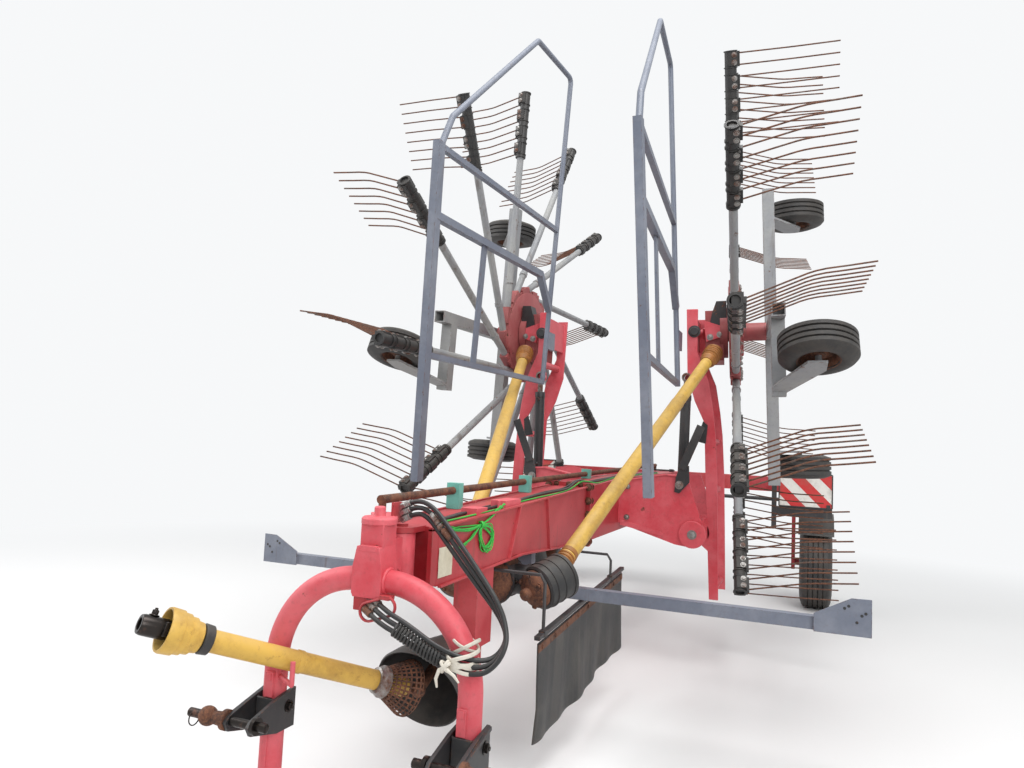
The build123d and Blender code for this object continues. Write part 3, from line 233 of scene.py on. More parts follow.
def background_rays(tree):
    """1 for the rays that should meet the pale background: from the camera, a mirror or a clear thing."""
    path = add(tree, "ShaderNodeLightPath").outputs
    mirror_too = math_node(tree, "MAXIMUM", path["Is Camera Ray"], path["Is Glossy Ray"])
    return math_node(tree, "MAXIMUM", mirror_too, path["Is Transmission Ray"])


def light_floor():
    mesh = bpy.data.meshes.new("floor")
    corners = [(FLOOR_HALF * x, FLOOR_HALF * y, 0) for x, y in ((-1, -1), (1, -1), (1, 1), (-1, 1))]
    mesh.from_pydata(corners, [], [(0, 1, 2, 3)])
    material, tree, shader = start_material("floor")
    shader.inputs["Base Color"].default_value = FLOOR_TONE
    shader.inputs["Roughness"].default_value = FLOOR_ROUGHNESS
    glow = add(tree, "ShaderNodeEmission", {"Color": BACKGROUND, "Strength": 1.0})
    distance = add(tree, "ShaderNodeVectorMath", {0: object_place(tree)}, operation="LENGTH").outputs["Value"]
    share = times(tree, background_rays(tree), step(tree, distance, FADE_NEAR, FADE_FAR))
    mixed = mix_shader(tree, share, shader.outputs["BSDF"], glow.outputs["Emission"])
    tree.links.new(mixed, tree.nodes["Material Output"].inputs["Surface"])
    mesh.materials.append(material)
    new_object("floor", mesh)


def light_world():
    world = bpy.data.worlds.new("studio")
    world.use_nodes = True
    tree = world.node_tree
    tree.nodes.clear()
    fill = add(tree, "ShaderNodeBackground", {"Color": FILL_TONE, "Strength": WORLD_FILL})
    pale = add(tree, "ShaderNodeBackground", {"Color": BACKGROUND, "Strength": 1.0})
    mixed = mix_shader(tree, background_rays(tree), fill.outputs["Background"], pale.outputs["Background"])
    add(tree, "ShaderNodeOutputWorld", {"Surface": mixed})
    bpy.context.scene.world = world


def lamp(name, place, aim, size, power):
    data = bpy.data.lights.new(name, "AREA")
    data.shape = "DISK"
    data.size = size
    data.energy = power
    obj = new_object(name, data)
    obj.location = place
    obj.rotation_euler = (Vector(aim) - Vector(place)).to_track_quat("-Z", "Y").to_euler()


light_floor()
light_world()
for name, values in LAMPS.items():
    lamp(name, *values)
bpy.context.scene.view_settings.view_transform = "Standard"
print("floor, world and", len(LAMPS), "lamps")

# %% [markdown]
# ## Finishes
# The machine has worked outdoors for years: sun has turned the red pink, water has run down it, rust comes
# through at edges and chips, and dust lies on what faces up. Each effect is one shader node group with
# named sockets, so every paint can use it with its own values. They read object coordinates, which stay
# with a piece when it moves. The pink paint is partly faded red and partly painted sunlight.

# %% Starting and using a node group
def start_group(name, outputs=("Mask",), **inputs):
    """A group with number inputs; its outputs are numbers too, save one called Color."""
    group = bpy.data.node_groups.new(name, "ShaderNodeTree")
    for socket, value in inputs.items():
        made = group.interface.new_socket(socket, in_out="INPUT", socket_type="NodeSocketFloat")
        made.default_value = value
    for socket in outputs:
        kind = "NodeSocketColor" if socket == "Color" else "NodeSocketFloat"
        group.interface.new_socket(socket, in_out="OUTPUT", socket_type=kind)
    return group, group.nodes.new("NodeGroupInput").outputs, group.nodes.new("NodeGroupOutput").inputs


def use(tree, group, **values):
    return add(tree, "ShaderNodeGroup", values, node_tree=group)


def mask_of(tree, group, **values):
    return use(tree, group, **values).outputs["Mask"]


print("group tools ready")

# %% [markdown]
# Patches: two noises of different size give blotches with broken edges. Amount moves the threshold, so 0
# is clean and 1 is all covered. It makes sun-bleached areas, stains and rust blooms alike.

# %% Node group: patches
def make_patches():
    group, into, out = start_group("patches", Scale=3.0, Amount=0.4, Softness=0.12)
    place = object_place(group)
    large = noise(group, place, into["Scale"], 5.0, 0.65, 0.3)
    fine = noise(group, place, times(group, into["Scale"], 7.0), 4.0, 0.7)
    both = plus(group, times(group, large, 0.7), times(group, fine, 0.3))
    level = minus(group, 0.72, times(group, into["Amount"], 0.44))
    low, high = minus(group, level, into["Softness"]), plus(group, level, into["Softness"])
    feed(group, step(group, both, low, high), out["Mask"])
    return group


PATCHES = make_patches()
print("group", PATCHES.name)

# %% [markdown]
# Streaks: the same idea, squeezed along the height, so that the noise draws out into runs of dirty water.

# %% Node group: streaks
STREAK_SQUEEZE = (1.0, 1.0, 0.07)


def make_streaks():
    group, into, out = start_group("streaks", Width=30.0, Amount=0.4)
    place = object_place(group)
    squeezed = add(group, "ShaderNodeMapping", {"Vector": place, "Scale": STREAK_SQUEEZE}).outputs["Vector"]
    run = noise(group, squeezed, into["Width"], 3.0, 0.55)
    breaks = noise(group, place, 2.3, 3.0, 0.5)
    both = times(group, run, plus(group, breaks, 0.5))
    level = minus(group, 0.75, times(group, into["Amount"], 0.4))
    feed(group, step(group, both, level, plus(group, level, 0.22)), out["Mask"])
    return group


STREAKS = make_streaks()
print("group", STREAKS.name)

# %% [markdown]
# Dust and bleaching settle on what faces up. The object-space normal tells that, and it stays with the
# piece when it moves. A noise breaks the mask so that it isn't an even gradient.

# %% Node group: topside
def make_topside():
    group, into, out = start_group("topside", Amount=0.5, Scale=9.0)
    coords = add(group, "ShaderNodeTexCoord").outputs
    height = add(group, "ShaderNodeSeparateXYZ", {"Vector": coords["Normal"]}).outputs["Z"]
    broken = noise(group, coords["Object"], into["Scale"], 5.0, 0.7)
    dusty = times(group, step(group, height, 0.1, 0.95), step(group, broken, 0.3, 0.62))
    feed(group, times(group, dusty, into["Amount"], True), out["Mask"])
    return group


TOPSIDE = make_topside()
print("group", TOPSIDE.name)

# %% [markdown]
# Edge wear: a Bevel node looks at the surface a few millimetres around, and where its rounded normal
# departs from the true one there is an edge. A noise then eats into the mask, so paint is gone in chips
# along the corner and not in a clean line.

# %% Node group: edge wear
def make_edge_wear():
    group, into, out = start_group("edge_wear", Width=0.006, Amount=0.5, Scale=45.0)
    bevel = add(group, "ShaderNodeBevel", {"Radius": into["Width"]}, samples=4)
    normals = {0: bevel.outputs["Normal"], 1: add(group, "ShaderNodeNewGeometry").outputs["Normal"]}
    same = add(group, "ShaderNodeVectorMath", normals, operation="DOT_PRODUCT").outputs["Value"]
    edge = step(group, minus(group, 1.0, same), 0.01, 0.16)
    chips = noise(group, object_place(group), into["Scale"], 4.0, 0.7)
    level = minus(group, 0.78, times(group, into["Amount"], 0.5))
    feed(group, times(group, edge, step(group, chips, level, plus(group, level, 0.08))), out["Mask"])
    return group


EDGE_WEAR = make_edge_wear()
print("group", EDGE_WEAR.name)

# %% [markdown]
# Rust is never one brown: dark old scale, orange bloom and dry tan dust mix at two scales. The group gives
# a colour and a height, and every steel that rusts takes both.

# %% Node group: rust
RUST_DARK = colour(58, 38, 32)
RUST_MIDDLE = colour(104, 66, 48)
RUST_BRIGHT = colour(150, 98, 62)


def make_rust():
    group, into, out = start_group("rust", ("Color", "Height"), Scale=22.0, Orange=0.4)
    place = object_place(group)
    coarse = noise(group, place, into["Scale"], 6.0, 0.7, 0.4)
    fine = noise(group, place, times(group, into["Scale"], 6.0), 4.0, 0.75)
    base = mix_colour(group, step(group, coarse, 0.36, 0.62), RUST_DARK, RUST_MIDDLE)
    bright = times(group, step(group, fine, 0.45, 0.7), into["Orange"], True)
    feed(group, mix_colour(group, bright, base, RUST_BRIGHT), out["Color"])
    feed(group, plus(group, times(group, coarse, 0.6), times(group, fine, 0.4)), out["Height"])
    return group


RUST = make_rust()
print("group", RUST.name)

# %% [markdown]
# Weathered paint is one recipe with different numbers: the red beam, the pink hitch, the grey guards and
# the black brackets. Paint goes pale in patches and on top, dirt runs down it, and rust shows at the edges
# and in chips. The Principled shader stays in each material, and only masks and colours come from groups.

# %% Weathered paint
DIRT_BROWN = colour(84, 66, 56)
DIRT_TAN = colour(88, 76, 66)


def add_bump(tree, shader, height, distance, strength=0.6):
    bump = add(tree, "ShaderNodeBump", {"Strength": strength, "Distance": distance, "Height": height})
    tree.links.new(bump.outputs["Normal"], shader.inputs["Normal"])


def paint(name, fresh, faded, fade, chips, edges, streaks, dust, gloss, dirt=DIRT_BROWN):
    material, tree, shader = start_material(name)
    fresh, faded = colour(*fresh), colour(*faded)
    bleached = mask_of(tree, PATCHES, Scale=1.7, Amount=fade, Softness=0.16)
    lit = mask_of(tree, TOPSIDE, Amount=dust, Scale=7.0)
    runs = mask_of(tree, STREAKS, Width=26.0, Amount=streaks)
    chipped = mask_of(tree, PATCHES, Scale=9.0, Amount=chips, Softness=0.02)
    worn = mask_of(tree, EDGE_WEAR, Width=0.006, Amount=edges, Scale=38.0)
    rust = use(tree, RUST, Scale=20.0, Orange=0.35).outputs["Color"]
    mottle = noise(tree, object_place(tree), 60.0, 3.0, 0.6)
    tone = mix_colour(tree, bleached, fresh, faded)
    tone = mix_colour(tree, times(tree, lit, 0.55), tone, faded)
    tone = mix_colour(tree, times(tree, runs, 0.5), tone, dirt)
    tone = mix_colour(tree, times(tree, step(tree, mottle, 0.5, 0.8), 0.22), tone, dirt)
    bare = math_node(tree, "MAXIMUM", chipped, worn)
    feed(tree, mix_colour(tree, bare, tone, rust), shader.inputs["Base Color"])
    rough = plus(tree, gloss, times(tree, bleached, 0.2))
    feed(tree, plus(tree, rough, times(tree, bare, 0.3), True), shader.inputs["Roughness"])
    add_bump(tree, shader, minus(tree, times(tree, mottle, 0.25), times(tree, bare, 0.8)), 0.0006)
    return material


# Fresh and faded colour, then fade, chips, edges, streaks, dust and roughness.
RED_PAINT = paint("red_paint", (160, 34, 42), (184, 76, 80), 0.42, 0.16, 0.45, 0.4, 0.5, 0.40)
# Pink paint: faded red, and lighter still as painted sunlight on the hitch, booms and brackets.
PINK_PAINT_WITH_PAINTED_SUN = paint("faded_red_paint", (196, 54, 66), (208, 98, 106), 0.55, 0.12, 0.3, 0.25, 0.7, 0.42)
DULL_RED = paint("dull_red_paint", (142, 58, 60), (164, 98, 96), 0.5, 0.20, 0.55, 0.5, 0.5, 0.50)
GREY_PAINT = paint("grey_paint", (98, 104, 118), (128, 132, 142), 0.4, 0.14, 0.55, 0.3, 0.4, 0.45)
PALE_GREY = paint("pale_grey_paint", (128, 130, 134), (150, 150, 148), 0.5, 0.2, 0.6, 0.4, 0.5, 0.5)
BLACK_PAINT = paint("black_paint", (36, 36, 38), (66, 64, 64), 0.3, 0.2, 0.55, 0.4, 0.5, 0.45, DIRT_TAN)
print("6 paints")

# %% [markdown]
# Bare steel, rusty or rubbed bright, shares one recipe too. Rubbed places are metallic, rusty ones are not,
# so the same mask drives Metallic, Roughness and the colour together.

# %% Bare and rusty steel
def steel(name, bare, rusted, scale, orange, gloss=0.38):
    material, tree, shader = start_material(name)
    rust = use(tree, RUST, Scale=scale, Orange=orange).outputs
    cover = mask_of(tree, PATCHES, Scale=8.0, Amount=rusted, Softness=0.08)
    feed(tree, mix_colour(tree, cover, colour(*bare), rust["Color"]), shader.inputs["Base Color"])
    feed(tree, times(tree, minus(tree, 1.0, cover), 0.9), shader.inputs["Metallic"])
    feed(tree, plus(tree, times(tree, cover, 0.45), gloss), shader.inputs["Roughness"])
    add_bump(tree, shader, times(tree, rust["Height"], cover), 0.0012)
    return material


# Bare colour, rusted share, grain of the rust, share of orange and roughness.
RUSTY_STEEL = steel("rusty_steel", (120, 110, 100), 0.86, 22.0, 0.45)
BRIGHT_STEEL = steel("bright_steel", (150, 148, 145), 0.42, 30.0, 0.3, 0.3)
TINE_STEEL = steel("rusty_tine", (96, 88, 82), 0.72, 60.0, 0.35, 0.42)
GREASY_STEEL = steel("greasy_steel", (52, 48, 46), 0.25, 40.0, 0.15, 0.3)
print("4 steels")

# %% [markdown]
# Plastics: the shaft guards are yellow turned mustard, with brown stains, and the black plastics have gone
# grey with dust. Two tones and a stain mask are enough, and a fine noise gives the moulded grain.

# %% Plastics and rubber
def plastic(name, fresh, stain, dusty, stained, dust, gloss, grain=160.0, relief=0.0004):
    material, tree, shader = start_material(name)
    fresh, stain, dusty = colour(*fresh), colour(*stain), colour(*dusty)
    spots = mask_of(tree, PATCHES, Scale=5.0, Amount=stained, Softness=0.14)
    specks = mask_of(tree, PATCHES, Scale=40.0, Amount=stained * 0.7, Softness=0.05)
    top = mask_of(tree, TOPSIDE, Amount=dust, Scale=12.0)
    tone = mix_colour(tree, times(tree, spots, 0.55), fresh, stain)
    tone = mix_colour(tree, times(tree, specks, 0.4), tone, stain)
    feed(tree, mix_colour(tree, times(tree, top, 0.6), tone, dusty), shader.inputs["Base Color"])
    feed(tree, plus(tree, gloss, times(tree, top, 0.25), True), shader.inputs["Roughness"])
    add_bump(tree, shader, noise(tree, object_place(tree), grain, 3.0, 0.6), relief, 0.5)
    return material


# Fresh, stained and dusty colour, then stained share, dust, roughness, grain and its height.
YELLOW_GUARD = plastic("yellow_guard", (204, 164, 72), (136, 96, 44), (196, 172, 118), 0.42, 0.45, 0.45)
ORANGE_GUARD = plastic("orange_guard", (168, 106, 36), (92, 60, 34), (150, 122, 84), 0.55, 0.5, 0.5)
BLACK_PLASTIC = plastic("black_plastic", (34, 34, 35), (62, 58, 54), (104, 98, 90), 0.45, 0.55, 0.5)
TURQUOISE = plastic("turquoise_plastic", (104, 178, 164), (90, 120, 104), (160, 200, 186), 0.35, 0.4, 0.4)
HOSE_RUBBER = plastic("hose_rubber", (28, 28, 29), (52, 50, 48), (88, 86, 82), 0.4, 0.5, 0.38, 220.0)
TYRE_RUBBER = plastic("tyre_rubber", (36, 36, 37), (70, 64, 58), (110, 104, 96), 0.5, 0.55, 0.62, 90.0, 0.0006)
CREAM_LABEL = plastic("cream_label", (212, 206, 186), (160, 146, 118), (190, 184, 166), 0.3, 0.2, 0.5)
WHITE_ROPE = plastic("white_rope", (206, 200, 188), (160, 148, 128), (190, 184, 170), 0.4, 0.2, 0.8, 400.0, 0.001)
GREEN_TWINE = plastic("green_twine", (54, 176, 66), (40, 120, 52), (96, 180, 96), 0.4, 0.2, 0.6, 400.0, 0.001)
print("9 plastics and rubbers")

# %% [markdown]
# The curtain's cloth has a plain weave under its black coating, with dust in streaks. The sign sheets are
# white with broad red slanting stripes, which lean inwards on both sides of the machine: the stripes come
# from the place on the board, and everything behind the board's face is grey.

# %% Cloth and striped sheet
WEAVE_SCALE = 110.0
STRIPE_PERIOD = 0.235


def coated_cloth(name):
    material, tree, shader = start_material(name)
    place = object_place(tree)
    weave, cross = (
        add(tree, "ShaderNodeTexWave", {"Vector": place, "Scale": WEAVE_SCALE}, wave_type="BANDS", bands_direction=way)
        for way in "YZ")
    runs = mask_of(tree, STREAKS, Width=14.0, Amount=0.62)
    spots = mask_of(tree, PATCHES, Scale=6.0, Amount=0.4, Softness=0.15)
    tone = mix_colour(tree, times(tree, runs, 0.45), colour(30, 30, 31), colour(72, 68, 64))
    tone = mix_colour(tree, times(tree, spots, 0.35), tone, colour(86, 80, 72))
    feed(tree, tone, shader.inputs["Base Color"])
    shader.inputs["Roughness"].default_value = 0.55
    add_bump(tree, shader, times(tree, weave.outputs["Fac"], cross.outputs["Fac"]), 0.0006, 0.5)
    return material


def striped_sheet(name, board_y):
    material, tree, shader = start_material(name)
    place = add(tree, "ShaderNodeSeparateXYZ", {"Vector": object_place(tree)}).outputs
    slant = plus(tree, math_node(tree, "ABSOLUTE", place["X"]), place["Z"])
    phase = math_node(tree, "FRACT", math_node(tree, "DIVIDE", slant, STRIPE_PERIOD))
    dirt = mask_of(tree, PATCHES, Scale=7.0, Amount=0.42, Softness=0.12)
    tone = mix_colour(tree, step(tree, phase, 0.495, 0.505), colour(214, 212, 206), colour(190, 44, 46))
    tone = mix_colour(tree, times(tree, dirt, 0.4), tone, colour(120, 104, 90))
    off_face = math_node(tree, "ABSOLUTE", minus(tree, place["Y"], board_y))
    tone = mix_colour(tree, step(tree, off_face, 0.012, 0.014), tone, colour(120, 122, 126))
    feed(tree, tone, shader.inputs["Base Color"])
    shader.inputs["Roughness"].default_value = 0.42
    return material


CURTAIN_CLOTH = coated_cloth("curtain_cloth")
print("cloth:", CURTAIN_CLOTH.name)

# %% [markdown]
# ## The solids and their finishes
# The frame's solids keep their shape. Each one only gets its finish, from a short table of material and
# names. A name that ends in a star stands for the right and the left one.

# %% Paint the solids
FINISH = (
    # Faded red, lighter still as painted sunlight.
    (PINK_PAINT_WITH_PAINTED_SUN, "arch king_head boom_brackets boom_*"),
    (RED_PAINT, "main_beam rear_beam jack axle_beam knuckle_*"),
    (BLACK_PAINT, "link_brackets curtain_rail steer_crank tie_rod cylinder_barrel_*"),
    (DULL_RED, "rotor_head_* rotor_hub_*"),
    (GREY_PAINT, "cross_bar sign_boards guard_*"),
    (PALE_GREY, "carriage_*"),
    (RUSTY_STEEL, "gearbox front_cone steering_rod rim_*"),
    (GREASY_STEEL, "drive_cross_*"),
    (BRIGHT_STEEL, "cylinder_rod_*"),
    (TINE_STEEL, "rotor_tines_*"),
    (YELLOW_GUARD, "front_shaft drive_outer_* drive_inner_*"),
    (BLACK_PLASTIC, "gearbox_guard curtain mudguard_*"),
    (TURQUOISE, "rod_guides"),
    (TYRE_RUBBER, "tyre_* rotor_wheel_low_* rotor_wheel_high_* rotor_wheel_front_*"),
)


def finish_node(name, material):
    for slot in NODES[name].material_slots:
        slot.material = material


finished = 0
for material, patterns in FINISH:
    for pattern in patterns.split():
        for side in SIDES if pattern.endswith("*") else ("",):
            finish_node(pattern.rstrip("*") + side, material)
            finished += 1
print(finished, "solids have their finish")

# %% [markdown]
# ## Making small parts
# The solids carry the machine. What makes it look real are the parts around them: tubes, turned parts,
# flat plates and bolts. Short builders add such forms to a bmesh, and make_piece turns it into a piece with
# a finish and a small bevel, and lets it ride on its body.

# %% Builders of forms
def basis(direction, side=X):
    """A turn whose z runs along direction, and whose x lies as near side as it can."""
    z = Vector(direction).normalized()
    x = Vector(side) - z * Vector(side).dot(z)
    if x.length < 1e-3:
        x = Y - z * z.y
    x.normalize()
    return Matrix((x, z.cross(x), z)).transposed()


def placed(origin, direction=Z, side=X):
    return Matrix.Translation(Vector(origin)) @ basis(direction, side).to_4x4()


def around(count, radius=1.0, start=0.0):
    """Pairs of numbers on a circle in equal steps, from start in degrees."""
    angles = [2 * math.pi * k / count + math.radians(start) for k in range(count)]
    return [(radius * math.cos(a), radius * math.sin(a)) for a in angles]


def add_rings(bm, rings, closed=False):
    """Walls from ring to ring, and either caps at both ends or a wall from the last ring to the first."""
    made = [[bm.verts.new(point) for point in ring] for ring in rings]
    count = len(made[0])
    pairs = list(zip(made, made[1:]))
    if closed:
        pairs.append((made[-1], made[0]))
    for low, high in pairs:
        for k in range(count):
            bm.faces.new((low[k], low[(k + 1) % count], high[(k + 1) % count], high[k]))
    if not closed:
        bm.faces.new(list(reversed(made[0])))
        bm.faces.new(made[-1])


def add_tube(bm, points, radius, sides=12):
    """A round bar through points; radius is one number or one for each point."""
    points = [Vector(p) for p in points]
    radii = radius if isinstance(radius, (list, tuple)) else [radius] * len(points)
    side = basis(points[1] - points[0]).col[0]
    rings = []
    for k, point in enumerate(points):
        before = points[max(k - 1, 0)]
        after = points[min(k + 1, len(points) - 1)]
        way = (after - before).normalized()
        side = (side - way * side.dot(way)).normalized()
        other = way.cross(side)
        rings.append([point + side * u + other * v for u, v in around(sides, radii[k])])
    add_rings(bm, rings)


def add_turned(bm, profile, origin, direction, steps=40, closed=False):
    """A turned part: profile lists (distance along the axis, radius)."""
    place = placed(origin, direction)
    rings = [[place @ Vector((x, y, along)) for x, y in around(steps, radius)] for along, radius in profile]
    add_rings(bm, rings, closed)


def add_block(bm, low, high, place=None):
    """A block between two corners, or in a turned frame of its own."""
    x0, y0, z0 = low
    x1, y1, z1 = high
    place = place or Matrix()
    add_rings(bm, [[place @ Vector((x, y, z)) for x, y in ((x0, y0), (x1, y0), (x1, y1), (x0, y1))]
                   for z in (z0, z1)])


def add_bar(bm, start, end, width, depth, side=X):
    start, end = Vector(start), Vector(end)
    place = placed(start, end - start, side)
    add_block(bm, (-width / 2, -depth / 2, 0), (width / 2, depth / 2, (end - start).length), place)


def add_bolt(bm, origin, direction, across=0.024, height=0.014):
    """A washer, a six-sided head and the end of a thread."""
    add_turned(bm, [(-0.001, across * 0.82), (0.003, across * 0.82)], origin, direction, 16)
    add_turned(bm, [(0.003, across * 0.56), (0.001 + height, across * 0.56), (0.003 + height, across * 0.42)],
               origin, direction, 6)
    add_turned(bm, [(height, across * 0.28), (height * 1.6, across * 0.25)], origin, direction, 10)


def turned_on(bm, place, profile, steps=24, closed=False):
    """A turned part along the z of a frame."""
    add_turned(bm, profile, place.translation, place.to_3x3() @ Z, steps, closed)


def bolt_on(bm, place, spot, way, across=0.02, height=0.010):
    add_bolt(bm, place @ Vector(spot), place.to_3x3() @ Vector(way), across, height)


def upright_plate(bm, outline, y_low, y_high):
    """A plate whose outline lies in x and height, between two places along the machine."""
    add_rings(bm, [[at(x, y, z) for x, z in outline] for y in (y_low, y_high)])


def side_plate(bm, outline, x_low, x_high):
    """A plate whose outline lies along the machine and in height, between two x."""
    add_rings(bm, [[at(x, y, z) for y, z in outline] for x in (x_low, x_high)])


def collar(start, end, inner, outer):
    """The closed profile of a plain ring."""
    return [(start, inner), (start, outer), (end, outer), (end, inner)]


def eye_profile(start, end, inner, outer, edge=0.002):
    """The closed profile of a ring whose outer edges are chamfered."""
    return [(start, inner), (start, outer - edge), (start + edge, outer), (end - edge, outer),
            (end, outer - edge), (end, inner)]


def add_grid(bm, point, columns, rows):
    """A sheet of four-sided faces; point gives the place of column c in row r."""
    grid = [[bm.verts.new(point(c, r)) for c in range(columns + 1)] for r in range(rows + 1)]
    for low, high in zip(grid, grid[1:]):
        for c in range(columns):
            bm.faces.new((low[c], low[c + 1], high[c + 1], high[c]))


def mirrored(bm):
    for vertex in bm.verts:
        vertex.co.x = -vertex.co.x
    bmesh.ops.reverse_faces(bm, faces=bm.faces)


EDGE_ANGLE = 40


def make_piece(name, bm, body, material, slot=None, bevel=0.0, stands_for=(), smooth=38):
    """Slot is not used. Smooth is the sharpest angle that is shaded smooth."""
    bmesh.ops.recalc_face_normals(bm, faces=bm.faces)
    mesh = bpy.data.meshes.new(name)
    bm.to_mesh(mesh)
    bm.free()
    mesh.materials.append(material)
    mesh.shade_smooth()
    mesh.set_sharp_from_angle(angle=math.radians(smooth))
    obj = new_object(name, mesh)
    if bevel:
        rounding = obj.modifiers.new("bevel", "BEVEL")
        rounding.width = bevel
        rounding.segments = 2
        rounding.limit_method = "ANGLE"
        rounding.angle_limit = math.radians(EDGE_ANGLE)
    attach(obj, body)
    if stands_for:
        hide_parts(*stands_for)
    return obj


def one_piece(name, maker, body, material, **options):
    bm = bmesh.new()
    maker(bm)
    return make_piece(name, bm, body, material, **options)


def both_sides(name, maker, body, material, stands_for=(), **options):
    """The right piece as made, the left one mirrored; names that end in _ take the side."""
    for side in SIDES:
        bm = bmesh.new()
        maker(bm, side)
        if side == "left":
            mirrored(bm)
        rides_on = body + side if body.endswith("_") else body
        stands = [node + side if node.endswith("_") else node for node in stands_for]
        make_piece(f"{name}_{side}", bm, rides_on, material, stands_for=stands, **options)


print("builders ready")

# %% [markdown]
# ## Hoses at the hitch
# Three rubber pressure hoses start at a plate behind the post. They fall in a wide bend beside the arch,
# turn back in front of the right leg, and rise through an oval ring to a block under the saddle.
# Each is one smooth NURBS curve along the same few points as the solid hose. A step to the side for each
# hose keeps the three side by side.

# %% Hoses
HOSE_D = 0.015
# A place on the middle hose, then the step to the hose beside it.
HOSE_ROUTE = (
    (0.040, 0.084, 1.090, 0.000, 0.000, 0.0210), (0.088, 0.082, 1.115, -0.003, 0.000, 0.0200),
    (0.144, 0.075, 1.102, 0.007, -0.002, 0.0190), (0.212, 0.060, 1.040, 0.014, -0.004, 0.0150),
    (0.328, 0.038, 0.926, 0.014, -0.006, 0.0130), (0.413, 0.022, 0.842, 0.012, -0.013, 0.0090),
    (0.450, 0.002, 0.781, 0.008, -0.018, 0.0030), (0.450, -0.016, 0.743, 0.008, -0.018, -0.0020),
    (0.431, -0.034, 0.709, 0.006, -0.016, -0.0080), (0.397, -0.050, 0.690, 0.003, -0.010, -0.0160),
    (0.331, -0.060, 0.692, -0.002, 0.000, -0.0200), (0.242, -0.066, 0.720, -0.007, 0.000, -0.0190),
    (0.150, -0.072, 0.770, -0.011, -0.002, -0.0170), (0.078, -0.074, 0.797, -0.011, -0.005, -0.0160),
    (0.015, -0.043, 0.821, -0.010, -0.008, -0.0145),
)
# The row that a hose lies in, and its length from end to end.
HOSES = {"outer": (1, 1.149), "middle": (0, 1.098), "inner": (-1, 1.054)}


def hose_route(row):
    return [at(x + row * dx, y + row * dy, z + row * dz) for x, y, z, dx, dy, dz in HOSE_ROUTE]


def hose_curve(name, route):
    data = bpy.data.curves.new(name, "CURVE")
    data.dimensions = "3D"
    spline = data.splines.new("NURBS")
    spline.points.add(len(route) - 1)
    for point, place in zip(spline.points, route):
        point.co = (*place, 1.0)
    spline.order_u = 3
    spline.use_endpoint_u = True
    spline.resolution_u = 12
    return new_object(name, data)


def line_of(obj):
    """The smooth line of a curve that has no thickness yet."""
    return [vertex.co.copy() for vertex in bpy.data.meshes.new_from_object(obj).vertices]


HOSE_LINES = {}
for which, (row, length) in HOSES.items():
    hose = hose_curve("hose_cord_" + which, hose_route(row))
    HOSE_LINES[which] = line_of(hose)
    hose.data.bevel_depth = HOSE_D / 2
    hose.data.bevel_resolution = 4
    hose.data.use_fill_caps = True
    hose.data.materials.append(HOSE_RUBBER)
    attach(hose, "headstock")
    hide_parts("hose_" + which)
print("hoses:", {which: len(line) for which, line in HOSE_LINES.items()})

# %% [markdown]
# Each hose ends in a crimped steel sleeve with a six-sided nut. The middle hose is also joined in its first
# fall, by two sleeves and three nuts. All these parts are turned, and they follow the line of their hose.

# %% Couplings on the hoses
SLEEVE = [(-0.002, 0.0078), (-0.002, 0.0102), (0.004, 0.0112), (0.007, 0.0100), (0.010, 0.0112), (0.013, 0.0100),
          (0.016, 0.0112), (0.019, 0.0100), (0.022, 0.0112), (0.026, 0.0102), (0.026, 0.0078)]


def point_along(line, distance):
    """The place on a line at a distance from its start."""
    for before, after in zip(line, line[1:]):
        length = (after - before).length
        if distance <= length:
            return before.lerp(after, distance / length)
        distance -= length
    return line[-1].copy()


def add_nut(bm, origin, way, across, height):
    add_turned(bm, [(0.0, across * 0.50), (0.001, across * 0.57), (height - 0.001, across * 0.57),
                    (height, across * 0.50)], origin, way, 6)


def make_hose_ends(bm, line):
    for path in (line, line[::-1]):
        way = (point_along(path, 0.030) - path[0]).normalized()
        add_turned(bm, SLEEVE, path[0] + way * 0.006, way, 18)
        add_nut(bm, path[0] - way * 0.006, way, 0.020, 0.013)


def make_hose_join(bm):
    line = HOSE_LINES["middle"]
    start, end = point_along(line, 0.118), point_along(line, 0.222)
    way = (end - start).normalized()
    add_turned(bm, SLEEVE, start, way, 18)
    add_turned(bm, SLEEVE, end, -way, 18)
    add_turned(bm, [(0.020, 0.0080), (0.088, 0.0080)], start, way, 14)
    for along, across in ((0.028, 0.021), (0.045, 0.024), (0.064, 0.021)):
        add_nut(bm, start + way * along, way, across, 0.013)


for which, line in HOSE_LINES.items():
    bm = bmesh.new()
    make_hose_ends(bm, line)
    if which == "middle":
        make_hose_join(bm)
    make_piece("hose_ends_" + which, bm, "headstock", BRIGHT_STEEL)

# %% [markdown]
# A black plastic strip is wound round the two lower hoses, between the ring and the leg. A white cloth ties
# all three to the leg. The strip is a flat helix round an oval that follows both hoses. The cloth is a few
# turns, each a closed loop, with a knot and two ends.

# %% Wound strip and cloth tie
def oval_loop(centre, across, deep, tilt, count=30, wobble=0.0):
    """A closed loop round something: across in x, deep in y, tilt is the rise from left to right."""
    loop = []
    for k, (u, v) in enumerate(around(count)):
        rise = tilt * u + wobble * math.sin(6 * math.pi * k / count)
        loop.append(centre + Vector((across * u, deep * v, rise)))
    return loop


def add_closed_strand(bm, loop, wide, thick, sides=8):
    """A flat strand along a closed loop, thick outwards from the middle and wide along z."""
    centre = sum(loop, Vector()) / len(loop)
    rings = []
    for k, point in enumerate(loop):
        way = (loop[(k + 1) % len(loop)] - loop[k - 1]).normalized()
        outward = point - centre
        outward = (outward - way * outward.dot(way)).normalized()
        up = way.cross(outward)
        rings.append([point + outward * thick * u + up * wide * v for u, v in around(sides)])
    add_rings(bm, rings, True)


WIND_FROM, WIND_TO = 0.775, 0.905
WIND_TURNS = 15
STEPS_A_TURN = 14
WIND_OVER, WIND_DEEP = 0.0105, 0.0125
STRIP_R = 0.0042


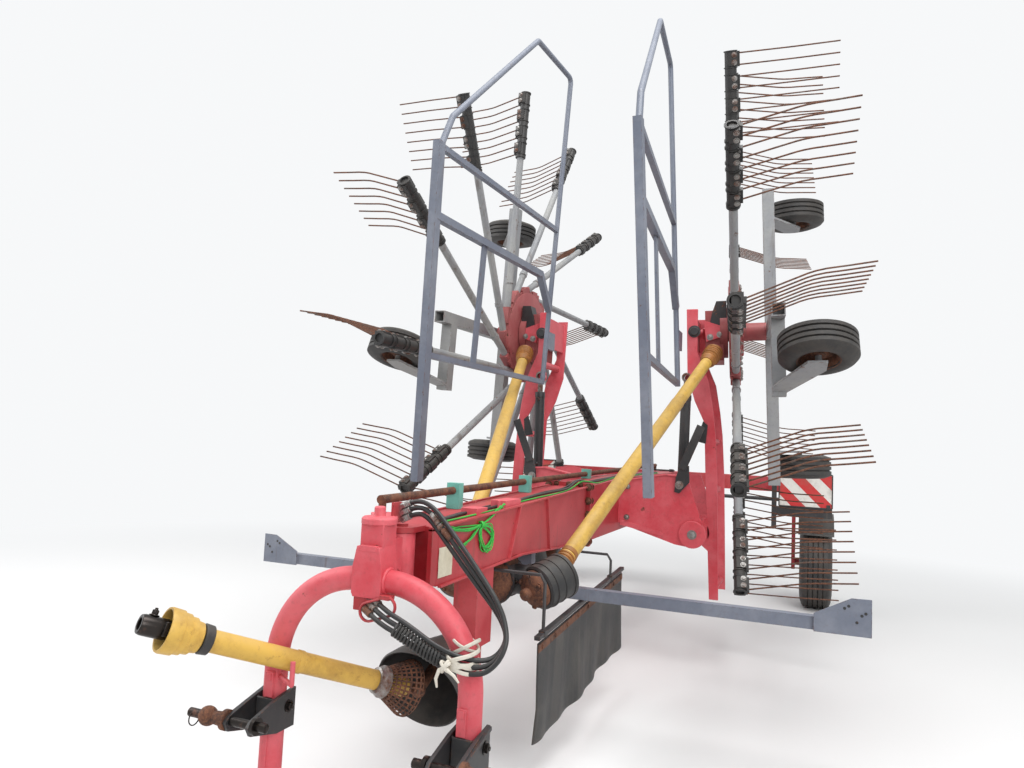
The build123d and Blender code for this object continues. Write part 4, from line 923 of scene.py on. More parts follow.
def make_wound_strip(bm):
    low, high = HOSE_LINES["outer"], HOSE_LINES["middle"]
    points = []
    for k in range(WIND_TURNS * STEPS_A_TURN + 1):
        share = WIND_FROM + (WIND_TO - WIND_FROM) * k / (WIND_TURNS * STEPS_A_TURN)
        part, index = math.modf(share * (len(high) - 1))
        index = int(index)
        a = low[index].lerp(low[index + 1], part)
        b = high[index].lerp(high[index + 1], part)
        way = (high[index + 1] - high[index]).normalized()
        spread = (b - a).normalized()
        other = way.cross(spread)
        angle = 2 * math.pi * k / STEPS_A_TURN
        half = (b - a).length / 2 + WIND_OVER
        points.append((a + b) / 2 + spread * half * math.cos(angle) + other * WIND_DEEP * math.sin(angle))
    add_tube(bm, points, STRIP_R, 6)


# The steps from the knot along each loose end of the cloth, and its radii.
TIE_ENDS = (
    (((-0.014, -0.008, -0.010), (-0.022, -0.010, -0.034), (-0.018, -0.008, -0.058)), [0.005, 0.0055, 0.005, 0.003]),
    (((0.016, -0.010, -0.008), (0.034, -0.010, -0.018), (0.048, -0.006, -0.036)), [0.005, 0.005, 0.0045, 0.003]),
)


def make_cloth_tie(bm):
    centre = at(0.330, -0.032, 0.695)
    for rise, tilt in ((0.016, 0.018), (0.006, -0.016), (-0.006, 0.012), (-0.014, -0.010), (0.000, 0.004)):
        loop = oval_loop(centre + Z * rise, 0.0455, 0.0500, tilt, wobble=0.0015)
        add_closed_strand(bm, loop, 0.0060, 0.0032)
    for x, z, tilt, wide in ((0.322, 0.728, 0.024, 0.0055), (0.320, 0.742, -0.020, 0.0050)):
        add_closed_strand(bm, oval_loop(at(x, 0.0, z), 0.0415, 0.0410, tilt), wide, 0.0030)
    knot = at(0.300, -0.086, 0.690)
    for tilt, across in ((0.010, 0.014), (-0.012, 0.012), (0.016, 0.009)):
        add_closed_strand(bm, oval_loop(knot, across, 0.009, tilt, 16), 0.0050, 0.0045)
    for route, radii in TIE_ENDS:
        add_tube(bm, [knot] + [knot + Vector(step_out) for step_out in route], radii, 8)


one_piece("hose_strip", make_wound_strip, "headstock", BLACK_PLASTIC)
one_piece("cloth_tie", make_cloth_tie, "headstock", WHITE_ROPE, slot="curtain_cloth")
print("strip and tie ready")

# %% [markdown]
# ## Rotors
# Each rotor carries twelve arms that pass the hub at a distance, as tangents do. A grey tube runs out from
# the red disc, and a black plastic sleeve with ribs clamps eight bent wires. The rotors are laid out level,
# with the hub along X, and one matrix then hangs them the way the folded boom does.

# %% Rotor layout
HANG_PIVOT = joint_place("rotor_level_right")
HUB_WAY = joint_axis("rotor_spin_right")
HANG = (
    Matrix.Translation(HANG_PIVOT)
    @ X.rotation_difference(HUB_WAY).to_matrix().to_4x4()
    @ Matrix.Translation(-HANG_PIVOT)
)
HUB = HANG.inverted() @ joint_place("rotor_spin_right")
ARM_X = 0.765
ARM_COUNT = 12
ARM_OFFSET = 0.290
FIRST_ARM = {"right": 5.3, "left": 0.3}
ARM_R = 0.024
DISC_X = 0.725
SLEEVE_START = 1.255
SLEEVE_END = 1.735
SLEEVE_R = 0.033
WIRE_STARTS = [1.285 + 0.062 * k for k in range(8)]
WIRE_R = 0.0045
# The bends of a wire: how far out from the machine, and how far back.
WIRE_BENDS = ((0.020, 0.002), (0.120, 0.040), (0.220, 0.078), (0.310, 0.112), (0.345, 0.122), (0.390, 0.130),
              (0.480, 0.138), (0.594, 0.150))


def arm_frame(angle):
    """A frame on an arm: x points out from the machine, y against the turning, z along the arm."""
    a = math.radians(angle)
    along = Vector((0, -math.cos(a), math.sin(a)))
    back = Vector((0, math.sin(a), math.cos(a)))
    foot = Vector((ARM_X, HUB.y, HUB.z)) - back * ARM_OFFSET
    place = Matrix((X, back, along)).transposed().to_4x4()
    return HANG @ Matrix.Translation(foot) @ place


def arms(side):
    return [arm_frame(FIRST_ARM[side] + 360 * k / ARM_COUNT) for k in range(ARM_COUNT)]


print("hub at", rounded(HUB), "turned", round(math.degrees(HUB_WAY.angle(X)), 2), "degrees")

# %% Sleeves, wires and their clamps
CLAMPS = [(WIRE_STARTS[k] + WIRE_STARTS[k + 1]) / 2 for k in range(0, 8, 2)]


def sleeve_profile():
    lip = SLEEVE_R + 0.004
    profile = [(SLEEVE_START - 0.006, 0.025), (SLEEVE_START - 0.006, lip), (SLEEVE_START + 0.008, lip),
               (SLEEVE_START + 0.008, SLEEVE_R)]
    for clamp in CLAMPS:
        for ring in (clamp - 0.046, clamp + 0.040):
            profile += collar(ring, ring + 0.006, SLEEVE_R, SLEEVE_R + 0.005)
    profile += [(SLEEVE_END - 0.002, SLEEVE_R), (SLEEVE_END, SLEEVE_R - 0.002), (SLEEVE_END, SLEEVE_R - 0.007),
                (SLEEVE_END - 0.05, SLEEVE_R - 0.009)]
    return profile


def make_sleeves(bm, side):
    for place in arms(side):
        turned_on(bm, place, sleeve_profile())
        for clamp in CLAMPS:
            add_block(bm, (-0.016, -0.041, clamp - 0.036), (0.038, 0.041, clamp + 0.036), place)
            add_block(bm, (0.036, -0.012, clamp - 0.040), (0.050, 0.018, clamp + 0.040), place)


def make_wires(bm, side):
    for place in arms(side):
        for start in WIRE_STARTS:
            add_tube(bm, [place @ Vector((out, back, start)) for out, back in WIRE_BENDS], WIRE_R, 6)


def make_clamp_bolts(bm, side):
    for place in arms(side):
        for clamp in CLAMPS:
            for along in (-0.02, 0.02):
                for sense in (-1, 1):
                    bolt_on(bm, place, (0.020, 0.040 * sense, clamp + along), Y * sense, 0.019, 0.007)


both_sides("rotor_sleeves", make_sleeves, "rotor_", BLACK_PLASTIC, stands_for=["rotor_tines_"])
both_sides("rotor_wires", make_wires, "rotor_", TINE_STEEL, stands_for=["rotor_tines_"])
both_sides("rotor_clamp_bolts", make_clamp_bolts, "rotor_", BRIGHT_STEEL)
print("sleeves and wires ready")

# %% Hub, disc and arm tubes
def make_hub(bm, side):
    hub = HANG @ placed((DISC_X, HUB.y, HUB.z), X)
    turned_on(bm, hub, [(0.0, 0.0602), (0.0, 0.306), (0.004, 0.312), (0.022, 0.312), (0.026, 0.308), (0.026, 0.232),
                        (0.034, 0.200), (0.070, 0.190), (0.078, 0.180), (0.079, 0.115), (0.080, 0.0602)], 72, True)
    for place in arms(side):
        add_block(bm, (-0.032, -0.034, -0.02), (0.030, 0.034, 0.150), place)
        add_block(bm, (-0.036, -0.046, 0.030), (-0.020, 0.046, 0.110), place)
    for x, y in around(24, 0.150, 4):
        bolt_on(bm, hub, (x, y, 0.079), Z, 0.018, 0.009)


def make_arm_tubes(bm, side):
    for place in arms(side):
        band = collar(0.325, 0.350, ARM_R, ARM_R + 0.005)
        turned_on(bm, place, [(-0.03, 0.020), (-0.03, ARM_R), *band, (SLEEVE_START, ARM_R), (SLEEVE_START, 0.020)], 18)


def make_hub_bolts(bm, side):
    for place in arms(side):
        for along in (0.01, 0.065, 0.120):
            bolt_on(bm, place, (0.030, 0.0, along), X, 0.020, 0.010)
            bolt_on(bm, place, (0.0, 0.034, along), Y, 0.016, 0.007)


both_sides("rotor_disc", make_hub, "rotor_", DULL_RED, slot="faded_red_paint", stands_for=["rotor_hub_"])
both_sides("rotor_arms", make_arm_tubes, "rotor_", PALE_GREY, slot="grey_paint", stands_for=["rotor_hub_"])
both_sides("rotor_hub_bolts", make_hub_bolts, "rotor_", BRIGHT_STEEL)
print("hubs ready")

# %% [markdown]
# The small wheels under a rotor are ribbed tyres on dished rims. One closed profile turns each.

# %% Small rotor wheels
SMALL_WHEEL_R = 0.205
SMALL_WHEEL_HALF = 0.0825
SMALL_RIM_R = 0.105


def turned_over(profile):
    """The same profile for the other side of a wheel."""
    return [(-along, radius) for along, radius in reversed(profile)]


def small_tyre_profile():
    """From one bead over the ribbed tread to the other bead, then back inside: a closed outline."""
    half = SMALL_WHEEL_HALF
    groove = SMALL_WHEEL_R - 0.011
    flank = [(-half + 0.010, SMALL_RIM_R), (-half, SMALL_RIM_R + 0.022), (-half + 0.002, SMALL_RIM_R + 0.052),
             (-half + 0.016, SMALL_WHEEL_R - 0.012)]
    tread = []
    for k in range(4):
        low = -half + 0.030 + k * 0.0325
        tread += [(low, SMALL_WHEEL_R), (low + 0.020, SMALL_WHEEL_R), (low + 0.023, groove), (low + 0.029, groove)]
    return flank + tread[:-2] + turned_over(flank) + [(0.0, SMALL_RIM_R - 0.004)]


def small_rim_profile():
    half = SMALL_WHEEL_HALF
    edge = [(-half + 0.006, 0.112), (-half + 0.016, 0.104), (-half + 0.030, 0.096), (-0.020, 0.090), (-0.012, 0.060),
            (-0.026, 0.052), (-0.045, 0.040), (-0.045, 0.0172)]
    return edge + turned_over(edge) + [(half - 0.010, 0.106), (0.0, 0.103), (-half + 0.010, 0.106)]


for side in SIDES:
    for wheel in ("low", "high", "front"):
        joint = f"rotor_wheel_{wheel}_spin_{side}"
        node = f"rotor_wheel_{wheel}_{side}"
        axle = placed(joint_place(joint), joint_axis(joint))
        bm = bmesh.new()
        turned_on(bm, axle, small_tyre_profile(), 56, True)
        make_piece(f"small_tyre_{wheel}_{side}", bm, node, TYRE_RUBBER, stands_for=[node], smooth=30)
        bm = bmesh.new()
        turned_on(bm, axle, small_rim_profile(), 40, True)
        for x, y in around(5, 0.045):
            for sense in (-1, 1):
                bolt_on(bm, axle, (x, y, 0.030 * sense), Z * sense, 0.016, 0.010)
        make_piece(f"small_rim_{wheel}_{side}", bm, node, RUSTY_STEEL, stands_for=[node], smooth=30)
print("six small wheels ready")

# %% [markdown]
# ## Drive shafts
# Yellow plastic tubes guard the shafts, one sliding in the other, with brown ribbed bellows at both ends.
# A rusty dome and a black drum with rings guard each joint at the central gearbox.

# %% Shafts to the rotors
SHAFT_START = joint_place("drive_swing_right")
LEVEL_INPUT = at(0.638, 2.937, 1.988)
SHAFT = HANG @ LEVEL_INPUT - SHAFT_START
SHAFT_WAY = SHAFT.normalized()
SHAFT_LENGTH = SHAFT.length
OUTER_END = 0.55 * SHAFT_LENGTH
TUBE_R = 0.038
INNER_R = 0.028


def shaft_turned(bm, profile, steps, closed=False):
    add_turned(bm, profile, SHAFT_START, SHAFT_WAY, steps, closed)


def bellows_profile(start):
    """Ribs that get smaller away from the joint, with one larger step after the second."""
    profile = [(0.0, 0.034), (0.0, 0.050), (0.014, 0.050)]
    radius = 0.050
    along = 0.014
    for rib in range(6):
        radius -= 0.003 if rib == 2 else 0.0012
        profile += [(along + 0.004, radius - 0.005), (along + 0.010, radius - 0.004), (along + 0.013, radius),
                    (along + 0.019, radius)]
        along += 0.019
    profile += [(along + 0.006, 0.040), (along + 0.016, 0.0395), (along + 0.016, 0.0385)]
    return [(start + along, radius) for along, radius in profile]


def make_outer_tube(bm, side):
    end = OUTER_END + 0.330
    profile = [(0.160, 0.0365), (0.160, TUBE_R), (end - 0.004, TUBE_R), (end, TUBE_R - 0.001), (end, 0.0365)]
    shaft_turned(bm, profile, 36, True)


def make_outer_bellows(bm, side):
    shaft_turned(bm, bellows_profile(0.062), 36)


def make_outer_yoke(bm, side):
    yoke = [(0.030, 0.012), (0.030, 0.024), (0.058, 0.026), (0.070, 0.024), (0.150, 0.0292), (0.150, 0.012)]
    shaft_turned(bm, yoke, 20)
    fork = placed(SHAFT_START, SHAFT_WAY)
    for sense in (-1, 1):
        add_block(bm, (0.027 * sense - 0.005, -0.018, -0.018), (0.027 * sense + 0.005, 0.018, 0.045), fork)


def make_inner_tube(bm, side):
    shaft_turned(bm, collar(OUTER_END - 0.25, SHAFT_LENGTH - 0.15, 0.020, INNER_R), 32)
    shaft_turned(bm, collar(OUTER_END + 0.20, SHAFT_LENGTH - 0.165, INNER_R, 0.0355), 36)


def make_inner_bellows(bm, side):
    end = SHAFT_LENGTH - 0.014
    profile = [(end - 0.006, 0.040), (end - 0.006, 0.056), (end - 0.014, 0.060)]
    for rib in range(6):
        along = end - 0.018 - 0.020 * rib
        radius = 0.061 - 0.0012 * rib - (0.004 if rib > 3 else 0.0)
        profile += [(along, radius - 0.004), (along - 0.004, radius - 0.004), (along - 0.008, radius),
                    (along - 0.015, radius)]
    profile += [(end - 0.144, 0.048), (end - 0.152, 0.041), (end - 0.168, 0.040), (end - 0.168, 0.036)]
    shaft_turned(bm, profile, 40)


for name, maker, node, material, slot in (
        ("drive_tube", make_outer_tube, "drive_outer_", YELLOW_GUARD, "yellow_guard"),
        ("drive_bellows", make_outer_bellows, "drive_outer_", ORANGE_GUARD, "yellow_guard"),
        ("drive_yoke", make_outer_yoke, "drive_outer_", GREASY_STEEL, "rusty_steel"),
        ("drive_inner_tube", make_inner_tube, "drive_inner_", YELLOW_GUARD, "yellow_guard"),
        ("drive_inner_bellows", make_inner_bellows, "drive_inner_", ORANGE_GUARD, "yellow_guard")):
    both_sides(name, maker, node, material, slot=slot, stands_for=[node])
print("drive shafts", round(SHAFT_LENGTH, 3), "m long")

# %% Guards at the gearbox
FOLD = joint_place("fold_right")
LOWERED_END = Vector((FOLD.x + LEVEL_INPUT.z - FOLD.z, LEVEL_INPUT.y, FOLD.z + FOLD.x - LEVEL_INPUT.x))
DRUM_WAY = (SHAFT_WAY + (LOWERED_END - SHAFT_START).normalized()).normalized()


def make_drum(bm, side):
    add_turned(bm, [
        (-0.070, 0.055), (-0.070, 0.086), (-0.062, 0.095), (-0.034, 0.095), (-0.032, 0.099), (-0.024, 0.099),
        (-0.022, 0.095), (0.012, 0.095), (0.014, 0.098), (0.019, 0.098), (0.021, 0.095), (0.068, 0.095),
        (0.070, 0.099), (0.085, 0.099), (0.085, 0.091), (-0.056, 0.090), (-0.056, 0.055),
    ], SHAFT_START, DRUM_WAY, 56, True)


def make_dome(bm, side):
    add_turned(bm, [
        (-0.058, 0.070), (-0.072, 0.082), (-0.084, 0.080), (-0.100, 0.070), (-0.112, 0.054), (-0.120, 0.034),
        (-0.122, 0.026), (-0.148, 0.024), (-0.152, 0.020), (-0.152, 0.004),
    ], SHAFT_START, DRUM_WAY)
    for x, y in around(6, 0.066, 20):
        bolt_on(bm, placed(SHAFT_START, DRUM_WAY), (x, y, -0.100), -Z, 0.015, 0.008)


both_sides("output_drum", make_drum, "frame", BLACK_PLASTIC, stands_for=["gearbox_guard"])
both_sides("output_dome", make_dome, "frame", RUSTY_STEEL, stands_for=["gearbox_guard"])
print("drums aim", rounded(DRUM_WAY, 2))

# %% Front shaft
FRONT_START = joint_place("front_shaft_swing")
FRONT = at(-0.430, -0.285, 0.716) - FRONT_START
FRONT_WAY = FRONT.normalized()
FRONT_LENGTH = FRONT.length


def front_turned(bm, profile, from_end=False, steps=40, closed=False):
    shift = FRONT_LENGTH if from_end else 0.0
    add_turned(bm, [(along + shift, radius) for along, radius in profile], FRONT_START, FRONT_WAY, steps, closed)


def make_front_tube(bm):
    front_turned(bm, [(0.060, 0.028), (0.060, 0.033), (FRONT_LENGTH - 0.36, 0.033), (FRONT_LENGTH - 0.358, 0.036),
                      (FRONT_LENGTH - 0.340, 0.036), (FRONT_LENGTH - 0.338, 0.0335), (FRONT_LENGTH - 0.01, 0.0335),
                      (FRONT_LENGTH - 0.01, 0.028)])
    front_turned(bm, [(-0.022, 0.034), (-0.016, 0.044), (0.004, 0.047), (0.006, 0.053), (0.026, 0.054), (0.028, 0.059),
                      (0.048, 0.060), (0.050, 0.0645), (0.084, 0.066), (0.090, 0.064), (0.090, 0.058), (0.010, 0.040),
                      (-0.010, 0.034)], True, 44, True)


def make_front_ring(bm):
    profile = [(-0.052, 0.034), (-0.050, 0.043), (-0.026, 0.045), (-0.022, 0.042), (-0.020, 0.034)]
    front_turned(bm, profile, True, 36, True)


def make_front_yoke(bm):
    front_turned(bm, [(0.020, 0.010), (0.020, 0.026), (0.070, 0.026), (0.084, 0.030), (0.150, 0.030), (0.160, 0.027),
                      (0.160, 0.0177), (0.086, 0.0177), (0.084, 0.010)], True, 32, True)
    fork = placed(FRONT_START + FRONT, FRONT_WAY)
    for sense in (-1, 1):
        add_block(bm, (0.032 * sense - 0.006, -0.020, 0.030), (0.032 * sense + 0.006, 0.020, 0.098), fork)
    add_tube(bm, [fork @ Vector((-0.040, 0, 0.060)), fork @ Vector((0.040, 0, 0.060))], 0.011, 14)
    bolt_on(bm, fork, (0.0, 0.030, 0.128), Y, 0.018, 0.014)


STRAINER_BAR = 0.0042
STRAINER_WALL = 0.003


def make_strainer(bm):
    """The rusty cap full of holes: a lattice made by insetting each face of a cone."""
    profile = [(0.045, 0.096), (0.058, 0.095), (0.072, 0.088), (0.088, 0.080), (0.103, 0.0725), (0.118, 0.065),
               (0.133, 0.0575), (0.148, 0.050)]
    front_turned(bm, profile, False, 30)
    ends = [face for face in bm.faces if len(face.verts) > 4]
    bmesh.ops.delete(bm, geom=ends, context="FACES")
    cells = list(bm.faces)
    bmesh.ops.inset_individual(bm, faces=cells, thickness=STRAINER_BAR)
    bmesh.ops.delete(bm, geom=cells, context="FACES")


def make_front_collar(bm):
    front_turned(bm, [(0.145, 0.034), (0.143, 0.050), (0.148, 0.054), (0.160, 0.053), (0.166, 0.047), (0.182, 0.043),
                      (0.184, 0.034)], False, 36, True)


INPUT_WAY = (at(0.0, 0.930, 0.730) - FRONT_START).normalized()


def make_input_bell(bm):
    """The wide black bell that opens to the front round the joint."""
    add_turned(bm, [(0.002, 0.161), (0.000, 0.166), (0.010, 0.168), (0.060, 0.150), (0.120, 0.118), (0.180, 0.082),
                    (0.230, 0.054), (0.250, 0.040), (0.250, 0.024), (0.235, 0.036), (0.215, 0.052), (0.175, 0.078),
                    (0.115, 0.113), (0.058, 0.144)], FRONT_START, INPUT_WAY, 56, True)


one_piece("front_tube", make_front_tube, "front_shaft", YELLOW_GUARD, stands_for=["front_shaft"])
one_piece("front_ring", make_front_ring, "front_shaft", BLACK_PLASTIC, stands_for=["front_shaft"])
one_piece("front_yoke", make_front_yoke, "front_shaft", GREASY_STEEL, slot="rusty_steel", bevel=0.0015,
          stands_for=["front_shaft"])
strainer = one_piece("front_strainer", make_strainer, "front_shaft", RUSTY_STEEL, stands_for=["front_cone"])
wall = strainer.modifiers.new("wall", "SOLIDIFY")
wall.thickness = STRAINER_WALL
wall.offset = -1.0
one_piece("front_collar", make_front_collar, "front_shaft", BRIGHT_STEEL, stands_for=["front_cone"])
one_piece("input_bell", make_input_bell, "frame", BLACK_PLASTIC)
print("front shaft", round(FRONT_LENGTH, 3), "m long")

# %% [markdown]
# ## Wheels, mudguards, sign boards and the curtain
# The road tyres have a shoulder and a slightly crowned tread with four grooves round it.

# %% Road wheels
TYRE_R = 0.385
TYRE_HALF = 0.1325
RIM_R = 0.215


def tyre_profile():
    half = TYRE_HALF
    profile = [(-half + 0.030, RIM_R - 0.008), (-half + 0.004, RIM_R + 0.012), (-half, RIM_R + 0.060),
               (-half + 0.006, RIM_R + 0.110), (-half + 0.020, TYRE_R - 0.022), (-half + 0.032, TYRE_R - 0.006)]
    for k in range(5):
        low = -half + 0.036 + k * 0.040
        rise = 0.003 - 0.0015 * abs(k - 2)
        profile += [(low, TYRE_R - 0.003 + rise), (low + 0.030, TYRE_R - 0.003 + rise)]
        if k < 4:
            profile += [(low + 0.032, TYRE_R - 0.014), (low + 0.038, TYRE_R - 0.014)]
    return profile + turned_over(profile[:6]) + [(half - 0.040, RIM_R + 0.01), (-half + 0.040, RIM_R + 0.01)]


def make_tyre(bm, side):
    add_turned(bm, tyre_profile(), joint_place("road_wheel_spin_right"), X, 88, True)


def make_rim(bm, side):
    half = TYRE_HALF
    hub = placed(joint_place("road_wheel_spin_right"), X)
    well = [(-half + 0.012, 0.228), (-half + 0.016, 0.214), (-half + 0.036, 0.203), (-0.040, 0.196)]
    inside = [(half - 0.022, 0.216), (half - 0.040, 0.208), (0.040, 0.201)]
    turned_on(bm, hub, well + turned_over(well) + inside + turned_over(inside), 64, True)
    turned_on(bm, hub, [
        (-0.010, 0.197), (0.004, 0.170), (0.026, 0.140), (0.030, 0.100), (0.026, 0.070), (0.030, 0.0302),
        (0.020, 0.0302), (0.016, 0.070), (0.020, 0.100), (0.016, 0.136), (-0.006, 0.164), (-0.020, 0.197),
    ], 64, True)
    for x, y in around(8, 0.155):
        add_turned(bm, [(0.026, 0.016), (0.034, 0.014), (0.034, 0.004)], hub @ Vector((x, y, -0.004)), X, 14)
    for x, y in around(6, 0.085):
        bolt_on(bm, hub, (x, y, 0.028), Z, 0.022, 0.014)
    turned_on(bm, hub, [(0.024, 0.056), (0.080, 0.052), (0.090, 0.046), (0.094, 0.034), (0.096, 0.004)], 30)


both_sides("road_tyre", make_tyre, "road_wheel_", TYRE_RUBBER, stands_for=["tyre_"])
both_sides("road_rim", make_rim, "road_wheel_", RUSTY_STEEL, stands_for=["rim_"])
print("road wheels ready")

# %% [markdown]
# The curtain that stops the swath is black reinforced cloth. It hangs from its rail in slight folds, its
# lower front corner has curled up and outwards, and its hem is straight.

# %% Curtain rail
RAIL_FRONT = at(0.288, 0.730, 0.586)
RAIL_REAR = at(0.288, 2.110, 0.666)
HANGER_R = 0.007
# Where each hanger stands, and the height of the beam's underside there.
CURTAIN_HANGERS = ((0.800, 0.857), (1.850, 0.812))


def make_curtain_rail(bm):
    add_bar(bm, RAIL_FRONT, RAIL_REAR, 0.024, 0.016)
    for y, under_beam in CURTAIN_HANGERS:
        share = (y + HITCH_Y - RAIL_FRONT.y) / (RAIL_REAR.y - RAIL_FRONT.y)
        on_rail = RAIL_FRONT.lerp(RAIL_REAR, share)
        level = under_beam - 0.042
        bends = [at(on_rail.x, y, level - 0.030), at(on_rail.x - 0.020, y, level), at(0.070, y, level),
                 at(0.052, y, under_beam - 0.030), at(0.050, y, under_beam)]
        add_tube(bm, [on_rail, *bends], HANGER_R)
        add_block(bm, on_rail + Vector((-0.014, -0.016, -0.010)), on_rail + Vector((0.014, 0.016, 0.014)))


one_piece("curtain_hanger", make_curtain_rail, "frame", BLACK_PAINT, bevel=0.0008, stands_for=["curtain_rail"])
print(len(CURTAIN_HANGERS), "hangers on the rail")

# %% Swath curtain
CURTAIN_LOW, CURTAIN_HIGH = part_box("curtain")
CURTAIN_X = (CURTAIN_LOW.x + CURTAIN_HIGH.x) / 2
CURTAIN_DROP = 0.400
CLOTH_THICK = 0.004
COLUMNS = 92
ROWS = 26


def curtain_point(along, down):
    """Along runs 0 to 1 from the front to the rear, down 0 to 1 from the rail to the hem."""
    y = CURTAIN_LOW.y + (CURTAIN_HIGH.y - CURTAIN_LOW.y) * along
    top = CURTAIN_HIGH.z - 0.080 * (1 - along)
    free = down ** 1.4
    fold = math.sin(along * 34.0) * 0.006 + math.sin(along * 13.0 + 1.7) * 0.010
    x = CURTAIN_X + fold * free
    z = top - (CURTAIN_DROP - 0.002) * down
    corner = max(0.0, 1 - along * 7.0) * max(0.0, down - 0.62) / 0.38
    return Vector((x - 0.020 * corner, y + 0.012 * corner, z + 0.016 * corner))


bm = bmesh.new()
add_grid(bm, lambda c, r: curtain_point(c / COLUMNS, r / ROWS), COLUMNS, ROWS)
curtain = make_piece("curtain_cloth", bm, "frame", CURTAIN_CLOTH, stands_for=["curtain"], smooth=60)
thickness = curtain.modifiers.new("thickness", "SOLIDIFY")
thickness.thickness = CLOTH_THICK
thickness.offset = 0.0


def make_curtain_strip(bm):
    for k in range(9):
        spot = curtain_point(0.03 + 0.94 * k / 8, 0.05) + X * 0.003
        add_bolt(bm, spot, X, 0.016, 0.006)
    front, rear = (curtain_point(along, 0.05) + X * 0.004 for along in (0.0, 1.0))
    add_bar(bm, front, rear, 0.003, 0.030)


one_piece("curtain_strip", make_curtain_strip, "frame", RUSTY_STEEL)
print("curtain", round(CURTAIN_HIGH.y - CURTAIN_LOW.y, 3), "m long")

# %% [markdown]
# ## Hitch
# The pivot head clasps the top of the arch: a plate saddle with sloping shoulders, a square post with a
# round cap and a short pin, and behind it the sleeve that turns on the beam's pin. The outline of the
# saddle is drawn once and made a plate, and the sleeve is turned with its bore left open for the pin.

# %% Pivot head
POST_HALF = 0.040
SADDLE_OUTLINE = [(-0.052, 0.850), (-0.046, 0.838), (0.046, 0.838), (0.052, 0.850), (0.052, 0.930), (0.040, 0.992),
                  (-0.040, 0.992), (-0.052, 0.930)]


def make_head_body(bm):
    upright_plate(bm, SADDLE_OUTLINE, -0.048, 0.048)
    upright_plate(bm, [(-0.030, 0.978), (0.030, 0.978), (0.030, 0.995), (-0.030, 0.995)], -0.050, 0.052)
    add_block(bm, at(-POST_HALF, -0.030, 0.985), at(POST_HALF, 0.050, 1.062))
    add_turned(bm, [(1.056, 0.050), (1.058, 0.056), (1.074, 0.056), (1.080, 0.050), (1.080, 0.021), (1.084, 0.018),
                    (1.108, 0.018), (1.112, 0.014)], at(0, 0.010, 0), Z, 40)
    for x in (-0.030, 0.016):
        side_plate(bm, [(0.040, 0.930), (0.110, 0.900), (0.110, 1.008), (0.040, 1.008)], x, x + 0.014)
    add_turned(bm, [(0.850, 0.0225), (0.850, 0.046), (0.853, 0.048), (1.017, 0.048), (1.020, 0.046), (1.020, 0.0225)],
               at(0, 0.150, 0), Z, 36, True)
    lever = [(-0.040, 0.040), (0.040, 0.040), (0.040, 0.055), (-0.054, 0.174), (-0.102, 0.174), (-0.102, 0.120)]
    add_rings(bm, [[at(x, y, z) for x, y in lever] for z in (1.066, 1.078)])
    mouth = [(0.048, 0.0375), (0.048, 0.0440), (0.054, 0.0440), (0.059, 0.0400), (0.059, 0.0375)]
    for sense in (-1, 1):
        add_turned(bm, mouth, at(0, 0, 0.885), X * sense, 36)


def make_hose_holders(bm):
    add_block(bm, at(0.016, 0.050, 1.056), at(0.024, 0.104, 1.122))
    add_block(bm, at(-0.044, -0.042, 0.798), at(0.002, -0.014, 0.846))
    place = Matrix.Translation(at(0.050, -0.055, 0.812)) @ Matrix.Rotation(math.radians(-19), 4, "Y")
    loop = [place @ Vector((x + math.copysign(0.034, x), 0.0, z)) for x, z in around(40, 0.028)]
    add_closed_strand(bm, loop, 0.0058, 0.0042)
    add_block(bm, at(0.056, -0.061, 0.842), at(0.090, -0.026, 0.854))


one_piece("pivot_head", make_head_body, "headstock", PINK_PAINT_WITH_PAINTED_SUN, bevel=0.0015, stands_for=["king_head"])
one_piece("hose_holders", make_hose_holders, "headstock", RED_PAINT)
print("pivot head ready")

# %% [markdown]
# A black bracket sits on each leg for the tractor's lower arm: two tapering plates joined by a strap round
# the front of the tube, with a pin across, a rusty ball on it outside, and a ring clip in the pin.

# %% Brackets on the legs
LEG_X = 0.346
LINK_AT = at(0, -0.150, 0.440)
LINK_PLATE = [(0.044, 0.505), (-0.040, 0.492), (-0.130, 0.466), (-0.162, 0.456), (-0.178, 0.440), (-0.162, 0.412),
              (-0.130, 0.404), (-0.040, 0.382), (0.044, 0.382)]


def make_link_bracket(bm, side):
    for x in (LEG_X + 0.037, LEG_X - 0.049):
        side_plate(bm, LINK_PLATE, x, x + 0.012)
    strap = [(-0.0365, -0.040), (-0.030, -0.050), (0.030, -0.050), (0.0365, -0.040), (0.0365, -0.032),
             (0.028, -0.0405), (-0.028, -0.0405), (-0.0365, -0.032)]
    add_rings(bm, [[at(LEG_X + x, y, z) for x, y in strap] for z in (0.386, 0.486)])
    add_bar(bm, at(LEG_X + 0.050, -0.146, 0.452), at(LEG_X + 0.050, 0.036, 0.500), 0.014, 0.012)


def make_link_pin(bm, side):
    ends = [(LEG_X - 0.098, 0.010), (LEG_X - 0.095, 0.014), (0.546, 0.014), (0.548, 0.010)]
    add_turned(bm, ends, LINK_AT, X, 20)
    add_turned(bm, collar(LEG_X - 0.062, LEG_X - 0.050, 0.0145, 0.026), LINK_AT, X, 24)
    for sense in (1, -1):
        add_bolt(bm, at(LEG_X + 0.049 * sense, 0.010, 0.452), X * sense, 0.024, 0.010)
    ring = [LINK_AT + Vector((0.530, y, z - 0.016)) for y, z in around(24, 0.022)]
    add_closed_strand(bm, ring, 0.0020, 0.0020)


